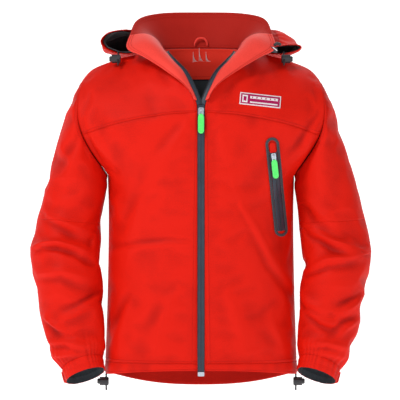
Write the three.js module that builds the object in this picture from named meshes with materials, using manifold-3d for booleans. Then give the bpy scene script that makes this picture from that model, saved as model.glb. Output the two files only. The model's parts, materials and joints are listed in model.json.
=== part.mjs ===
// A hooded foul weather jacket hanging as if worn: shell panels, lining, sleeves, collar, folded hood,
// front zip, chest pocket zip, cord locks and trim. Millimetres, +Z up, the front faces -Y.
// The origin is the centre of the neck opening, where the jacket is carried. "left" is the wearer's left, +X.
import * as THREE from "three";
import { mergeVertices } from "three/addons/utils/BufferGeometryUtils.js";
import Module from "manifold-3d";

const wasm = await Module();
wasm.setup();

// ---- Driving dimensions -------------------------------------------------------------------------

// Cloth and clearances
const SHELL = 2.4; // laminated shell fabric with its backing
const LINING = 1.2; // mesh lining
const LAYER_GAP = 0.4; // air between two layers
const SEAM_GAP = 0.5; // between two panels along a seam
const TRIM_GAP = 0.7; // under a sewn-on trim piece
const POCKET_SEAT = 2.0; // under the bonded pocket frame and what lies in it
const RUNNING_GAP = 0.3; // between hard pieces that move on each other

// Body
const CHEST_FRONT = 142; // centre front ahead of the origin
const BLADES_BACK = 150; // centre back behind the origin, at the shoulder blades
const WAIST_BACK = 134;
const HEM_BACK = 140;
const HALF_WAIST = 203;
const HALF_HEM = 210;
const BODY_ROUNDNESS = 2.5; // exponent of the body's cross-section
const WAIST_Z = -300;
const HEM_SEAM_Z = -622; // seam between body and hem band, all round
const HEM_FRONT_Z = -638;
const HEM_SIDE_Z = -651;
const HEM_BACK_Z = -686; // dropped tail
const YOKE_FRONT_Z = -81;
const YOKE_BACK_Z = -112;
const ARM_STEPS = 18; // stations round the armhole, shared by the body and the sleeve
const YOKE_STEPS = 5; // the station, from the shoulder tip, where the yoke seams meet the armhole

// Shoulder, neck and armhole
const NECK_HALF = 84;
const NECK_SIDE_Z = 60;
const NECK_BACK = 84;
const NECK_BACK_Z = 68;
const TIP_X = 262;
const TIP_Z = -8;
const UNDERARM_X = 205;
const UNDERARM_Z = -215;
const ARMHOLE_HALF_DEPTH = 80;
const ARMHOLE_BULGE = 31;

// Sleeve
const ELBOW_X = 371;
const ELBOW_INNER_X = 224;
const ELBOW_Z = -392;
const ELBOW_HALF_DEPTH = 78;
const CUFF_OUTER = new THREE.Vector2(303, -640);
const CUFF_INNER = new THREE.Vector2(214, -612);
const CUFF_HALF_DEPTH = 43;
const CUFF_HEIGHT = 28;
const CUFF_FORWARD = 62; // the forearm bends forward
const CUFF_TILT = 0.38;

// Front zip
const TAPE_HALF = 7.5; // one tape's width
const TAPE_THICK = 1.2;
const CHAIN_WIDTH = 6;
const CHAIN_THICK = 2.2;
const ZIP_TOP_Z = -72; // top of the closed slider
const SLIDER_WIDTH = 12;
const SLIDER_HEIGHT = 17;
const SLIDER_THICK = 4;
const ZIP_BOX_HEIGHT = 9;
const PULL_WIDTH = 13;
const PULL_LENGTH = 43;
const PULL_THICK = 4;
const LINK_WIDTH = 5;
const LINK_WIRE = 1.8;

// Chest pocket on the wearer's left
const POCKET_TOP = new THREE.Vector2(152, -136);
const POCKET_BOTTOM = new THREE.Vector2(176, -350);
const POCKET_WIDTH = 30;
const POCKET_BORDER = 6;
const POCKET_THICK = 1.4;
const POCKET_BAG_DEPTH = 6;
const POCKET_BAG_WIDTH = 110;

// Collar and hood
const COLLAR_TOP_Z = 143;
const COLLAR_TOP_BACK = 112;
const COLLAR_TIP = new THREE.Vector3(160, -62, 58);
const HOOD_HALF = 208;
const HOOD_BACK = 205;
const HOOD_RIM_Z = 104;
const HOOD_DROP = 175; // how far the folded hood hangs down the back

// Cord locks
const LOCK_RADIUS = 9.5;
const LOCK_HEIGHT = 20;
const PLUNGER_RADIUS = 6;
const PLUNGER_PROUD = 5;
const PLUNGER_DEPTH = 6;
const CORD_RADIUS = 1.6;
const CORD_HOLE = 2.3;
const CORD_SPREAD = 7; // between the two legs of a cord loop

// Small trim
const BADGE_CENTRE = new THREE.Vector2(128, -55);
const BADGE_SIZE = new THREE.Vector2(89, 26);
const BADGE_TILT = -0.1;
const BADGE_THICK = 1.2;
const CUFF_TAB_LENGTH = 62;
const CUFF_TAB_WIDTH = 24;

// ---- Finishes -----------------------------------------------------------------------------------

const finish = (color, roughness, metalness = 0) => ({ color, roughness, metalness });
const RED = finish(0xea2c1e, 0.62);
const FACING = finish(0xd8382f, 0.66);
const DARK_LINING = finish(0x21282f, 0.8);
const TAPE_NAVY = finish(0x2d4155, 0.45);
const STEEL = finish(0x8f9aa6, 0.35, 0.8);
const GREEN = finish(0x2fe85c, 0.4);
const BLACK = finish(0x16171b, 0.45);
const GREY = finish(0x4b4b55, 0.6);
const PALE = finish(0xe8dfe2, 0.5);

// ---- Geometry helpers ---------------------------------------------------------------------------

const root = new THREE.Group();
const V = (x, y, z) => new THREE.Vector3(x, y, z);
const mix = THREE.MathUtils.lerp;
const curve = (points) => new THREE.CatmullRomCurve3(points, false, "centripetal");
const along = (points) => {
  const line = curve(points);
  return (t) => line.getPoint(t);
};

function add(name, geometry, look, parent = root) {
  const mesh = new THREE.Mesh(geometry, new THREE.MeshStandardMaterial(look));
  mesh.name = name;
  parent.add(mesh);
  return mesh;
}

// A closed surface from its points and its four-cornered faces, turned to face outwards.
function closedFaces(points, quads) {
  const positions = points.flatMap((p) => [p.x, p.y, p.z]);
  const index = quads.flatMap(([a, b, c, d]) => [a, b, c, a, c, d]);
  let volume = 0;
  for (let i = 0; i < index.length; i += 3) {
    const [a, b, c] = [points[index[i]], points[index[i + 1]], points[index[i + 2]]];
    volume += a.dot(b.clone().cross(c));
  }
  if (volume < 0) index.reverse();
  const geometry = new THREE.BufferGeometry();
  geometry.setAttribute("position", new THREE.Float32BufferAttribute(positions, 3));
  geometry.setIndex(index);
  geometry.computeVertexNormals();
  return geometry;
}

// Draws an open grid's border in by half a seam gap, so that its neighbours' borders stay clear.
function trimmed(grid, gap = SEAM_GAP) {
  const last = grid.length - 1;
  const step = (from, to) => to.clone().sub(from).setLength(gap / 2);
  return grid.map((row, i) =>
    row.map((p, j) => {
      const end = row.length - 1;
      const q = p.clone();
      if (i === 0) q.add(step(p, grid[1][j]));
      if (i === last) q.add(step(p, grid[last - 1][j]));
      if (j === 0) q.add(step(p, row[1]));
      if (j === end) q.add(step(p, row[end - 1]));
      return q;
    }),
  );
}

// A sheet of cloth: an open grid of outer points, and the same grid moved in by inset(point, depth).
function sheet(grid, inset, thickness, start = 0, gap = SEAM_GAP) {
  const lay = (depth) =>
    trimmed(
      grid.map((row) => row.map((p) => inset(p, depth))),
      gap,
    );
  const layers = [lay(start), lay(start + thickness)];
  const rows = grid.length;
  const columns = grid[0].length;
  const points = layers.flat(2);
  const at = (layer, i, j) => (layer * rows + i) * columns + j;
  const quads = [];
  for (let i = 0; i + 1 < rows; i++)
    for (let j = 0; j + 1 < columns; j++) {
      quads.push([at(0, i, j), at(0, i, j + 1), at(0, i + 1, j + 1), at(0, i + 1, j)]);
      quads.push([at(1, i, j), at(1, i + 1, j), at(1, i + 1, j + 1), at(1, i, j + 1)]);
    }
  const wall = (a, b) => quads.push([at(0, ...b), at(0, ...a), at(1, ...a), at(1, ...b)]);
  for (let j = 0; j + 1 < columns; j++) {
    wall([0, j], [0, j + 1]);
    wall([rows - 1, j + 1], [rows - 1, j]);
  }
  for (let i = 0; i + 1 < rows; i++) {
    wall([i + 1, 0], [i, 0]);
    wall([i, columns - 1], [i + 1, columns - 1]);
  }
  return closedFaces(points, quads);
}

// A tube of cloth between two of a sleeve's stations: rings of outer points and the same rings moved in.
function tube(rings, inset, thickness, gap = SEAM_GAP) {
  const last = rings.length - 1;
  const sides = rings[0].length;
  const layer = (depth) =>
    rings.map((ring, i) =>
      ring.map((p, j) => {
        const q = inset(p, i, depth);
        const next = i === 0 ? rings[1][j] : i === last ? rings[last - 1][j] : null;
        return next ? q.add(next.clone().sub(p).setLength(gap / 2)) : q;
      }),
    );
  const points = [layer(0), layer(thickness)].flat(2);
  const at = (l, i, j) => (l * rings.length + i) * sides + (j % sides);
  const quads = [];
  for (let j = 0; j < sides; j++) {
    for (let i = 0; i < last; i++) {
      quads.push([at(0, i, j), at(0, i, j + 1), at(0, i + 1, j + 1), at(0, i + 1, j)]);
      quads.push([at(1, i, j), at(1, i + 1, j), at(1, i + 1, j + 1), at(1, i, j + 1)]);
    }
    quads.push([at(0, 0, j + 1), at(0, 0, j), at(1, 0, j), at(1, 0, j + 1)]);
    quads.push([at(0, last, j), at(0, last, j + 1), at(1, last, j + 1), at(1, last, j)]);
  }
  return closedFaces(points, quads);
}

// The surface that four seams bound, as a grid: bottom and top run with s, start and end run with t.
// reach says how fast the start and end seams' own shape fades towards the middle of the panel.
function patch(bottom, top, start, end, columns, rows, reach = 2) {
  const bow = (seam, t) => seam(t).sub(seam(0).lerp(seam(1), t));
  const grid = [];
  for (let i = 0; i <= rows; i++) {
    const t = i / rows;
    const row = [];
    for (let j = 0; j <= columns; j++) {
      const s = j / columns;
      const p = bottom(s).lerp(top(s), t);
      p.addScaledVector(bow(start, t), (1 - s) ** reach);
      p.addScaledVector(bow(end, t), s ** reach);
      row.push(p);
    }
    grid.push(row);
  }
  return grid;
}

const mirrored = (grid) => grid.map((row) => row.map((p) => V(-p.x, p.y, p.z)));
const SIDES = [
  ["right", -1],
  ["left", 1],
];
const sided = (grid, sign) => (sign < 0 ? mirrored(grid) : grid);

function solidOf(geometry) {
  const bare = geometry.clone();
  bare.deleteAttribute("normal");
  bare.deleteAttribute("uv");
  const merged = mergeVertices(bare, 1e-4);
  const mesh = new wasm.Mesh({
    numProp: 3,
    vertProperties: new Float32Array(merged.attributes.position.array),
    triVerts: new Uint32Array(merged.index.array),
  });
  return new wasm.Manifold(mesh);
}

function geometryOf(solid) {
  const mesh = solid.getMesh();
  const geometry = new THREE.BufferGeometry();
  geometry.setAttribute("position", new THREE.BufferAttribute(new Float32Array(mesh.vertProperties), 3));
  geometry.setIndex(new THREE.BufferAttribute(new Uint32Array(mesh.triVerts), 1));
  return geometry;
}

const cut = (body, ...tools) =>
  geometryOf(tools.reduce((solid, tool) => solid.subtract(solidOf(tool)), solidOf(body)));

// A flat plate with rounded corners, its outline in X and Z and its thickness along Y, centred.
function plate(width, height, thick, radius, hole = null) {
  const outline = roundedOutline(new THREE.Shape(), width, height, radius);
  if (hole) outline.holes.push(roundedOutline(new THREE.Path(), hole.width, hole.height, hole.radius));
  const geometry = new THREE.ExtrudeGeometry(outline, {
    depth: thick,
    bevelEnabled: false,
    curveSegments: 3,
  });
  return geometry.translate(0, 0, -thick / 2).rotateX(Math.PI / 2);
}

function roundedOutline(path, width, height, radius) {
  const [x, y] = [width / 2, height / 2];
  path.moveTo(-x + radius, -y);
  path.lineTo(x - radius, -y);
  path.absarc(x - radius, -y + radius, radius, -Math.PI / 2, 0, false);
  path.lineTo(x, y - radius);
  path.absarc(x - radius, y - radius, radius, 0, Math.PI / 2, false);
  path.lineTo(-x + radius, y);
  path.absarc(-x + radius, y - radius, radius, Math.PI / 2, Math.PI, false);
  path.lineTo(-x, -y + radius);
  path.absarc(-x + radius, -y + radius, radius, Math.PI, Math.PI * 1.5, false);
  return path;
}

// A cord of round section along hand-chosen points.
function cord(points, steps, radius = CORD_RADIUS) {
  const section = new THREE.Shape();
  section.absarc(0, 0, radius, 0, Math.PI * 2, false);
  return new THREE.ExtrudeGeometry(section, {
    steps,
    curveSegments: 4,
    extrudePath: curve(points),
  });
}

// ---- Body surface -------------------------------------------------------------------------------

// Moves a point of the body's outside in towards a spine under it.
const SPINE_SHARE = 0.6;
const SPINE_TOP_Z = -80;

function bodyInset(p, depth) {
  const spine = V(p.x * SPINE_SHARE, 0, Math.min(p.z, SPINE_TOP_Z));
  return p.clone().addScaledVector(spine.sub(p).normalize(), depth);
}

const sideX = along([
  V(HALF_HEM, 0, HEM_SEAM_Z),
  V(mix(HALF_HEM, HALF_WAIST, 0.7), 0, mix(HEM_SEAM_Z, WAIST_Z, 0.5)),
  V(HALF_WAIST, 0, WAIST_Z),
  V(UNDERARM_X, 0, UNDERARM_Z),
]);

// The armhole seam: angle 0 is the shoulder tip, a half turn is the underarm. side 1 is the front half.
function armhole(angle, side) {
  const fall = (1 - Math.cos(angle)) / 2;
  return V(
    mix(TIP_X, UNDERARM_X, fall) + ARMHOLE_BULGE * Math.sin(Math.PI * fall),
    -side * ARMHOLE_HALF_DEPTH * Math.sin(angle),
    mix(TIP_Z, UNDERARM_Z, fall),
  );
}

// The body's cross-section at the hem seam or below it, from centre (0) to side (1).
function hemRow(s, depth, z) {
  const x = mix(TAPE_HALF + SEAM_GAP, HALF_HEM, Math.sin((s * Math.PI) / 2) ** 0.8);
  const y = depth * (1 - (x / HALF_HEM) ** BODY_ROUNDNESS) ** (1 / BODY_ROUNDNESS);
  return V(x, s === 1 ? 0 : y, z(s));
}

const FRONT_EDGE_X = TAPE_HALF + SEAM_GAP;
const frontEdge = (from, to) => (t) => V(FRONT_EDGE_X, -CHEST_FRONT, mix(from, to, t));

// From the hem seam up the side, round the lower armhole, to where a yoke seam meets it.
function sideRun(side) {
  const share = SIDE_ROWS / BODY_ROWS;
  return (t) =>
    t < share
      ? sideX(t / share)
      : armhole(mix(Math.PI, YOKE_ANGLE, (t - share) / (1 - share)), side);
}

const shoulderLine = along([
  V(NECK_HALF, 5, NECK_SIDE_Z),
  V(mix(NECK_HALF, TIP_X, 0.4), 5, mix(NECK_SIDE_Z, TIP_Z, 0.2)),
  V(mix(NECK_HALF, TIP_X, 0.68), 3, mix(NECK_SIDE_Z, TIP_Z, 0.42)),
  V(mix(NECK_HALF, TIP_X, 0.88), 1, mix(NECK_SIDE_Z, TIP_Z, 0.66)),
  V(TIP_X, 0, TIP_Z),
]);

// The edge of the open front, from the yoke seam up past the slider to the side of the neck.
const openFront = along([
  V(FRONT_EDGE_X, -CHEST_FRONT, YOKE_FRONT_Z),
  V(FRONT_EDGE_X + 2, -CHEST_FRONT, YOKE_FRONT_Z + 18),
  V(NECK_HALF * 0.24, -CHEST_FRONT + 8, -36),
  V(NECK_HALF * 0.46, -CHEST_FRONT + 28, 0),
  V(NECK_HALF * 0.74, -CHEST_FRONT * 0.6, 26),
  V(NECK_HALF * 0.94, -CHEST_FRONT * 0.3, 46),
  V(NECK_HALF, 5, NECK_SIDE_Z),
]);

const YOKE_ANGLE = (2 * Math.PI * YOKE_STEPS) / ARM_STEPS;
const frontYokeEnd = armhole(YOKE_ANGLE, 1);
const backYokeEnd = armhole(YOKE_ANGLE, -1);

const frontYokeSeam = along([
  V(FRONT_EDGE_X, -CHEST_FRONT, YOKE_FRONT_Z),
  V(frontYokeEnd.x * 0.33, -CHEST_FRONT * 0.96, YOKE_FRONT_Z - 6),
  V(frontYokeEnd.x * 0.7, -CHEST_FRONT * 0.84, mix(YOKE_FRONT_Z, frontYokeEnd.z, 0.5)),
  frontYokeEnd,
]);

const acrossBack = (points) => {
  const whole = [...points.map((p) => V(-p.x, p.y, p.z)).reverse()];
  if (points[0].x === 0) whole.pop();
  return along([...whole, ...points]);
};

const backYokeSeam = acrossBack([
  V(0, BLADES_BACK, YOKE_BACK_Z),
  V(backYokeEnd.x * 0.4, BLADES_BACK * 0.96, YOKE_BACK_Z - 2),
  V(backYokeEnd.x * 0.75, BLADES_BACK * 0.8, mix(YOKE_BACK_Z, backYokeEnd.z, 0.5)),
  backYokeEnd,
]);

const backNeckSeam = acrossBack([
  V(0, NECK_BACK, NECK_BACK_Z),
  V(NECK_HALF * 0.55, NECK_BACK * 0.86, NECK_BACK_Z - 1),
  V(NECK_HALF * 0.94, NECK_BACK * 0.48, mix(NECK_BACK_Z, NECK_SIDE_Z, 0.6)),
  V(NECK_HALF, 5, NECK_SIDE_Z),
]);

const COLUMNS = 8;
const BACK_COLUMNS = 14;
const SIDE_ROWS = 6;
const BODY_ROWS = SIDE_ROWS + ARM_STEPS / 2 - YOKE_STEPS;
const YOKE_ROWS = YOKE_STEPS;

const frontHemSeam = (s) => hemRow(s, -CHEST_FRONT, () => HEM_SEAM_Z);
const signedRow = (row) => (s) => {
  const p = row(Math.abs(2 * s - 1));
  return V(Math.sign(2 * s - 1) * p.x, p.y, p.z);
};
const backRow = (z) => (s) => {
  const x = HALF_HEM * Math.sin((s * Math.PI) / 2) ** 0.8;
  const y = HEM_BACK * (1 - (x / HALF_HEM) ** BODY_ROUNDNESS) ** (1 / BODY_ROUNDNESS);
  return V(x, s === 1 ? 0 : y, z(s));
};
const backHemSeam = signedRow(backRow(() => HEM_SEAM_Z));

const frontBody = patch(
  frontHemSeam,
  frontYokeSeam,
  frontEdge(HEM_SEAM_Z, YOKE_FRONT_Z),
  sideRun(1),
  COLUMNS,
  BODY_ROWS,
);
const frontYoke = patch(
  frontYokeSeam,
  shoulderLine,
  openFront,
  (t) => armhole(mix(YOKE_ANGLE, 0, t), 1),
  COLUMNS,
  YOKE_ROWS,
);

// The back dips in at the waist between the shoulder blades and the hem.
function dippedBack(grid) {
  const depth = mix(HEM_BACK, BLADES_BACK, 0.5) - WAIST_BACK;
  return grid.map((row, i) =>
    row.map((p, j) => {
      const across = Math.sin((Math.PI * j) / (row.length - 1));
      const up = Math.sin((Math.PI * i) / (grid.length - 1));
      return V(p.x, p.y - depth * across * up, p.z);
    }),
  );
}

const mirrorX = (f) => (t) => {
  const p = f(t);
  return V(-p.x, p.y, p.z);
};
const backSide = sideRun(-1);
const backArmhole = (t) => armhole(mix(YOKE_ANGLE, 0, t), -1);
const backBody = dippedBack(
  patch(backHemSeam, backYokeSeam, mirrorX(backSide), backSide, BACK_COLUMNS, BODY_ROWS, 4),
);

// The back yoke's top edge: shoulder line, neck seam, shoulder line.
const SHOULDER_SHARE = 0.36;
function backYokeTop(s) {
  const half = Math.abs(2 * s - 1);
  const sign = Math.sign(2 * s - 1) || 1;
  const onNeck = 1 - 2 * SHOULDER_SHARE;
  if (half <= onNeck) return backNeckSeam(0.5 + (sign * half) / onNeck / 2);
  const p = shoulderLine((half - onNeck) / (1 - onNeck));
  return V(sign * p.x, p.y, p.z);
}
const backYoke = patch(
  backYokeSeam,
  backYokeTop,
  mirrorX(backArmhole),
  backArmhole,
  BACK_COLUMNS,
  YOKE_ROWS,
  4,
);

const panels = {};
for (const [side, sign] of SIDES) {
  panels[`front_body_${side}`] = add(
    `front_body_${side}`,
    sheet(sided(frontBody, sign), bodyInset, SHELL),
    RED,
  );
  panels[`front_yoke_${side}`] = add(
    `front_yoke_${side}`,
    sheet(sided(frontYoke, sign), bodyInset, SHELL),
    RED,
  );
}
add("back_body", sheet(backBody, bodyInset, SHELL), RED);
add("back_yoke", sheet(backYoke, bodyInset, SHELL), RED);

// ---- Hem band -----------------------------------------------------------------------------------

const HEM_ROWS = 2;
const hemBand = (seam, edge, columns) =>
  patch(
    seam,
    edge,
    (t) => seam(0).lerp(edge(0), t),
    (t) => seam(1).lerp(edge(1), t),
    columns,
    HEM_ROWS,
  );
const ease = (s) => (1 - Math.cos(Math.PI * s)) / 2;
const frontHemEdge = (s) => hemRow(s, -CHEST_FRONT, (t) => mix(HEM_FRONT_Z, HEM_SIDE_Z, ease(t)));
const backHemEdge = signedRow(backRow((t) => mix(HEM_BACK_Z, HEM_SIDE_Z, ease(t))));
const frontBand = hemBand(frontHemSeam, frontHemEdge, COLUMNS);
for (const [side, sign] of SIDES)
  add(`hem_band_front_${side}`, sheet(sided(frontBand, sign), bodyInset, SHELL), RED);
add("hem_band_back", sheet(hemBand(backHemSeam, backHemEdge, BACK_COLUMNS), bodyInset, SHELL), RED);

// ---- Lining and inner yoke facing ---------------------------------------------------------------

const LINING_START = SHELL + LAYER_GAP;
const liningGrid = [...frontBody, ...frontYoke.slice(1)];
for (const [side, sign] of SIDES)
  add(
    `lining_front_${side}`,
    sheet(sided(liningGrid, sign), bodyInset, LINING, LINING_START),
    DARK_LINING,
  );
const FACING_ROWS = 3; // yoke rows that the facing covers, from the neck down
const facingFrom = YOKE_ROWS - FACING_ROWS;
const backLiningGrid = [...backBody, ...backYoke.slice(1, facingFrom + 1)];
add("lining_back", sheet(backLiningGrid, bodyInset, LINING, LINING_START), DARK_LINING);
add("inner_yoke_facing", sheet(backYoke.slice(facingFrom), bodyInset, LINING, LINING_START), FACING);

// ---- Sleeves ------------------------------------------------------------------------------------

const P2 = (x, z) => V(x, 0, z);
const RAIL_SPANS = 8;
const outerRail = curve([
  P2(TIP_X, TIP_Z),
  P2(mix(TIP_X, ELBOW_X, 0.28), mix(TIP_Z, ELBOW_Z, 0.18)),
  P2(mix(TIP_X, ELBOW_X, 0.55), mix(TIP_Z, ELBOW_Z, 0.43)),
  P2(mix(TIP_X, ELBOW_X, 0.77), mix(TIP_Z, ELBOW_Z, 0.66)),
  P2(mix(TIP_X, ELBOW_X, 0.94), mix(TIP_Z, ELBOW_Z, 0.87)),
  P2(ELBOW_X, ELBOW_Z),
  P2(mix(ELBOW_X, CUFF_OUTER.x, 0.22), mix(ELBOW_Z, CUFF_OUTER.y, 0.32)),
  P2(mix(ELBOW_X, CUFF_OUTER.x, 0.5), mix(ELBOW_Z, CUFF_OUTER.y, 0.7)),
  P2(CUFF_OUTER.x, CUFF_OUTER.y),
]);
const innerRail = curve([
  P2(UNDERARM_X, UNDERARM_Z),
  P2(mix(UNDERARM_X, ELBOW_INNER_X, 0.2), mix(UNDERARM_Z, ELBOW_Z, 0.1)),
  P2(mix(UNDERARM_X, ELBOW_INNER_X, 0.42), mix(UNDERARM_Z, ELBOW_Z, 0.23)),
  P2(mix(UNDERARM_X, ELBOW_INNER_X, 0.68), mix(UNDERARM_Z, ELBOW_Z, 0.42)),
  P2(mix(UNDERARM_X, ELBOW_INNER_X, 0.9), mix(UNDERARM_Z, ELBOW_Z, 0.72)),
  P2(ELBOW_INNER_X, ELBOW_Z - 6),
  P2(mix(ELBOW_INNER_X, CUFF_INNER.x, 0.5), mix(ELBOW_Z, CUFF_INNER.y, 0.32)),
  P2(mix(ELBOW_INNER_X, CUFF_INNER.x, 0.95), mix(ELBOW_Z, CUFF_INNER.y, 0.7)),
  P2(CUFF_INNER.x, CUFF_INNER.y),
]);
const smooth = THREE.MathUtils.smoothstep;
const ELBOW_AT = 5 / RAIL_SPANS;

// One ring of the sleeve, at station v from the armhole (0) to the cuff seam (1).
function sleeveFrame(v) {
  const outer = outerRail.getPoint(v);
  const inner = innerRail.getPoint(v);
  const toElbow = smooth(v, 0, ELBOW_AT);
  const toCuff = smooth(v, ELBOW_AT, 1);
  const depth =
    v < ELBOW_AT
      ? mix(ARMHOLE_HALF_DEPTH, ELBOW_HALF_DEPTH, toElbow)
      : mix(ELBOW_HALF_DEPTH, CUFF_HALF_DEPTH, toCuff);
  const tilt = CUFF_TILT * smooth(v, ELBOW_AT * 0.7, 1);
  return {
    centre: outer.clone().add(inner).multiplyScalar(0.5).setY(-CUFF_FORWARD * smooth(v, ELBOW_AT * 0.6, 1)),
    half: outer.clone().sub(inner).multiplyScalar(0.5),
    fore: V(0, -Math.cos(tilt), Math.sin(tilt)).multiplyScalar(depth),
    bulge: ARMHOLE_BULGE * (1 - smooth(v, 0, 0.3)),
  };
}

function sleeveRing(frame, shrink = 0, shift = V(0, 0, 0)) {
  return Array.from({ length: ARM_STEPS }, (_, k) => {
    const angle = (2 * Math.PI * k) / ARM_STEPS;
    const fall = (1 - Math.cos(angle)) / 2;
    const arm = frame.half.clone().multiplyScalar(Math.cos(angle));
    arm.addScaledVector(frame.fore, Math.sin(angle));
    arm.x += frame.bulge * Math.sin(Math.PI * fall);
    arm.setLength(arm.length() - shrink);
    return frame.centre.clone().add(arm).add(shift);
  });
}

function sleeveSection(from, to, count, sign, shrink = 0) {
  const frames = Array.from({ length: count + 1 }, (_, i) => sleeveFrame(mix(from, to, i / count)));
  const flip = (p) => V(sign * p.x, p.y, p.z);
  const rings = frames.map((frame) => sleeveRing(frame, shrink).map(flip));
  const inset = (p, i, depth) => {
    const centre = flip(frames[i].centre);
    return p.clone().addScaledVector(centre.sub(p).normalize(), depth);
  };
  return tube(rings, inset, SHELL);
}

const SLEEVE_PARTS = [
  ["sleeve_cap", 0, 0.36, 4],
  ["sleeve_upper", 0.36, 0.55, 2],
  ["sleeve_elbow", 0.55, 0.7, 3],
  ["sleeve_lower", 0.7, 1, 3],
];
for (const [side, sign] of SIDES) {
  for (const [name, from, to, count] of SLEEVE_PARTS)
    add(`${name}_${side}`, sleeveSection(from, to, count, sign), RED);
}

// Elasticated cuff: carries the sleeve's end straight on along the forearm.
function cuffAxis() {
  const before = sleeveFrame(0.97).centre;
  return sleeveFrame(1).centre.clone().sub(before).normalize();
}
const cuffShift = (share) => cuffAxis().multiplyScalar(CUFF_HEIGHT * share);
const cuffFrame = sleeveFrame(1);
for (const [side, sign] of SIDES) {
  const flip = (p) => V(sign * p.x, p.y, p.z);
  const rings = [0, 0.5, 1].map((share) => sleeveRing(cuffFrame, 2 * share, cuffShift(share)).map(flip));
  const inset = (p, i, depth) => {
    const centre = flip(cuffFrame.centre.clone().add(cuffShift(i / 2)));
    return p.clone().addScaledVector(centre.sub(p).normalize(), depth);
  };
  add(`cuff_${side}`, tube(rings, inset, SHELL), RED);
}

// Adjusting tab on the outside back of each cuff, held by a hook pad.
for (const [side, sign] of SIDES) {
  const columns = 4;
  const rows = 2;
  const start = Math.PI * 1.92;
  const radius = (cuffFrame.half.length() + CUFF_HALF_DEPTH) / 2;
  const sweep = CUFF_TAB_LENGTH / radius;
  const back = cuffAxis().multiplyScalar(-CUFF_TAB_WIDTH);
  const grid = Array.from({ length: rows + 1 }, (_, i) =>
    Array.from({ length: columns + 1 }, (_, j) => {
      const angle = start - (sweep * j) / columns;
      const arm = cuffFrame.half.clone().multiplyScalar(Math.cos(angle));
      arm.addScaledVector(cuffFrame.fore, Math.sin(angle));
      arm.setLength(arm.length() + TRIM_GAP + SHELL);
      const p = cuffFrame.centre.clone().add(arm).addScaledVector(back, (i / rows) * 0.96);
      p.add(cuffShift(0.86));
      return V(sign * p.x, p.y, p.z);
    }),
  );
  const inset = (p, depth) => {
    const centre = cuffFrame.centre.clone().setX(sign * cuffFrame.centre.x);
    return p.clone().addScaledVector(centre.sub(p).normalize(), depth);
  };
  add(`cuff_tab_${side}`, sheet(grid, inset, SHELL), FACING);
}

// ---- Collar -------------------------------------------------------------------------------------

// Half of the collar, from the slider to the centre back: its seam, its free edge, and the roll between them.
const COLLAR_SEAT = 0.1;
const collarSeam = curve([
  V(FRONT_EDGE_X + 1, -CHEST_FRONT - 3, YOKE_FRONT_Z + 20),
  V(NECK_HALF * 0.24, -CHEST_FRONT + 4, -34),
  V(NECK_HALF * 0.46, -CHEST_FRONT + 23, 4),
  V(NECK_HALF * 0.74, -CHEST_FRONT * 0.6 - 4, 31),
  V(NECK_HALF * 0.96, -CHEST_FRONT * 0.3 - 2, 52),
  V(NECK_HALF + 1, 5, NECK_SIDE_Z + 3),
  V(NECK_HALF * 0.94, NECK_BACK * 0.48, mix(NECK_BACK_Z, NECK_SIDE_Z, 0.6) + 1),
  V(NECK_HALF * 0.55, NECK_BACK * 0.86, NECK_BACK_Z - 1 + COLLAR_SEAT),
  V(0, NECK_BACK, NECK_BACK_Z + COLLAR_SEAT),
]);
const collarEdge = curve([
  V(FRONT_EDGE_X + 4, -CHEST_FRONT - 5, YOKE_FRONT_Z + 22),
  V(COLLAR_TIP.x * 0.2, -CHEST_FRONT - 2, -28),
  V(COLLAR_TIP.x * 0.5, -CHEST_FRONT + 26, 10),
  V(COLLAR_TIP.x * 0.8, -CHEST_FRONT + 52, 40),
  COLLAR_TIP,
  V(COLLAR_TIP.x - 4, -18, 90),
  V(COLLAR_TIP.x - 18, 34, 124),
  V(COLLAR_TIP.x * 0.6, COLLAR_TOP_BACK * 0.74, COLLAR_TOP_Z - 4),
  V(0, COLLAR_TOP_BACK, COLLAR_TOP_Z),
]);

function collarGrid(from, to, columns, rows) {
  const grid = [];
  for (let i = 0; i <= rows; i++) {
    const w = i / rows;
    const row = [];
    for (let j = 0; j <= columns; j++) {
      const u = mix(from, to, j / columns);
      const seam = collarSeam.getPoint(u);
      const edge = collarEdge.getPoint(u);
      const lift = V(0, -1, 0.6).multiplyScalar(7 * Math.sin(Math.PI * w) * Math.sin(Math.PI * u));
      row.push(seam.lerp(edge, w).add(lift));
    }
    grid.push(row);
  }
  return grid;
}

// The collar's outside faces away from the neck, and its lapels lie down on the yokes.
const collarInset = (p, depth) =>
  p.clone().addScaledVector(V(-p.x * 0.35, -NECK_BACK, p.z < 60 ? 40 : 20).normalize(), depth);
const COLLAR_START = 0.02;
const COLLAR_JOIN = 0.62;
for (const [side, sign] of SIDES)
  add(
    `collar_front_${side}`,
    sheet(sided(collarGrid(COLLAR_START, COLLAR_JOIN, 10, 3), sign), collarInset, SHELL),
    FACING,
  );
const halfBack = collarGrid(COLLAR_JOIN, 1, 5, 3);
const wholeBack = halfBack.map((row, i) => [
  ...mirrored(halfBack)[i],
  ...row.slice(0, -1).reverse(),
]);
add("collar_back", sheet(wholeBack, collarInset, SHELL), FACING);

// ---- Hood, folded back --------------------------------------------------------------------------

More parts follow.
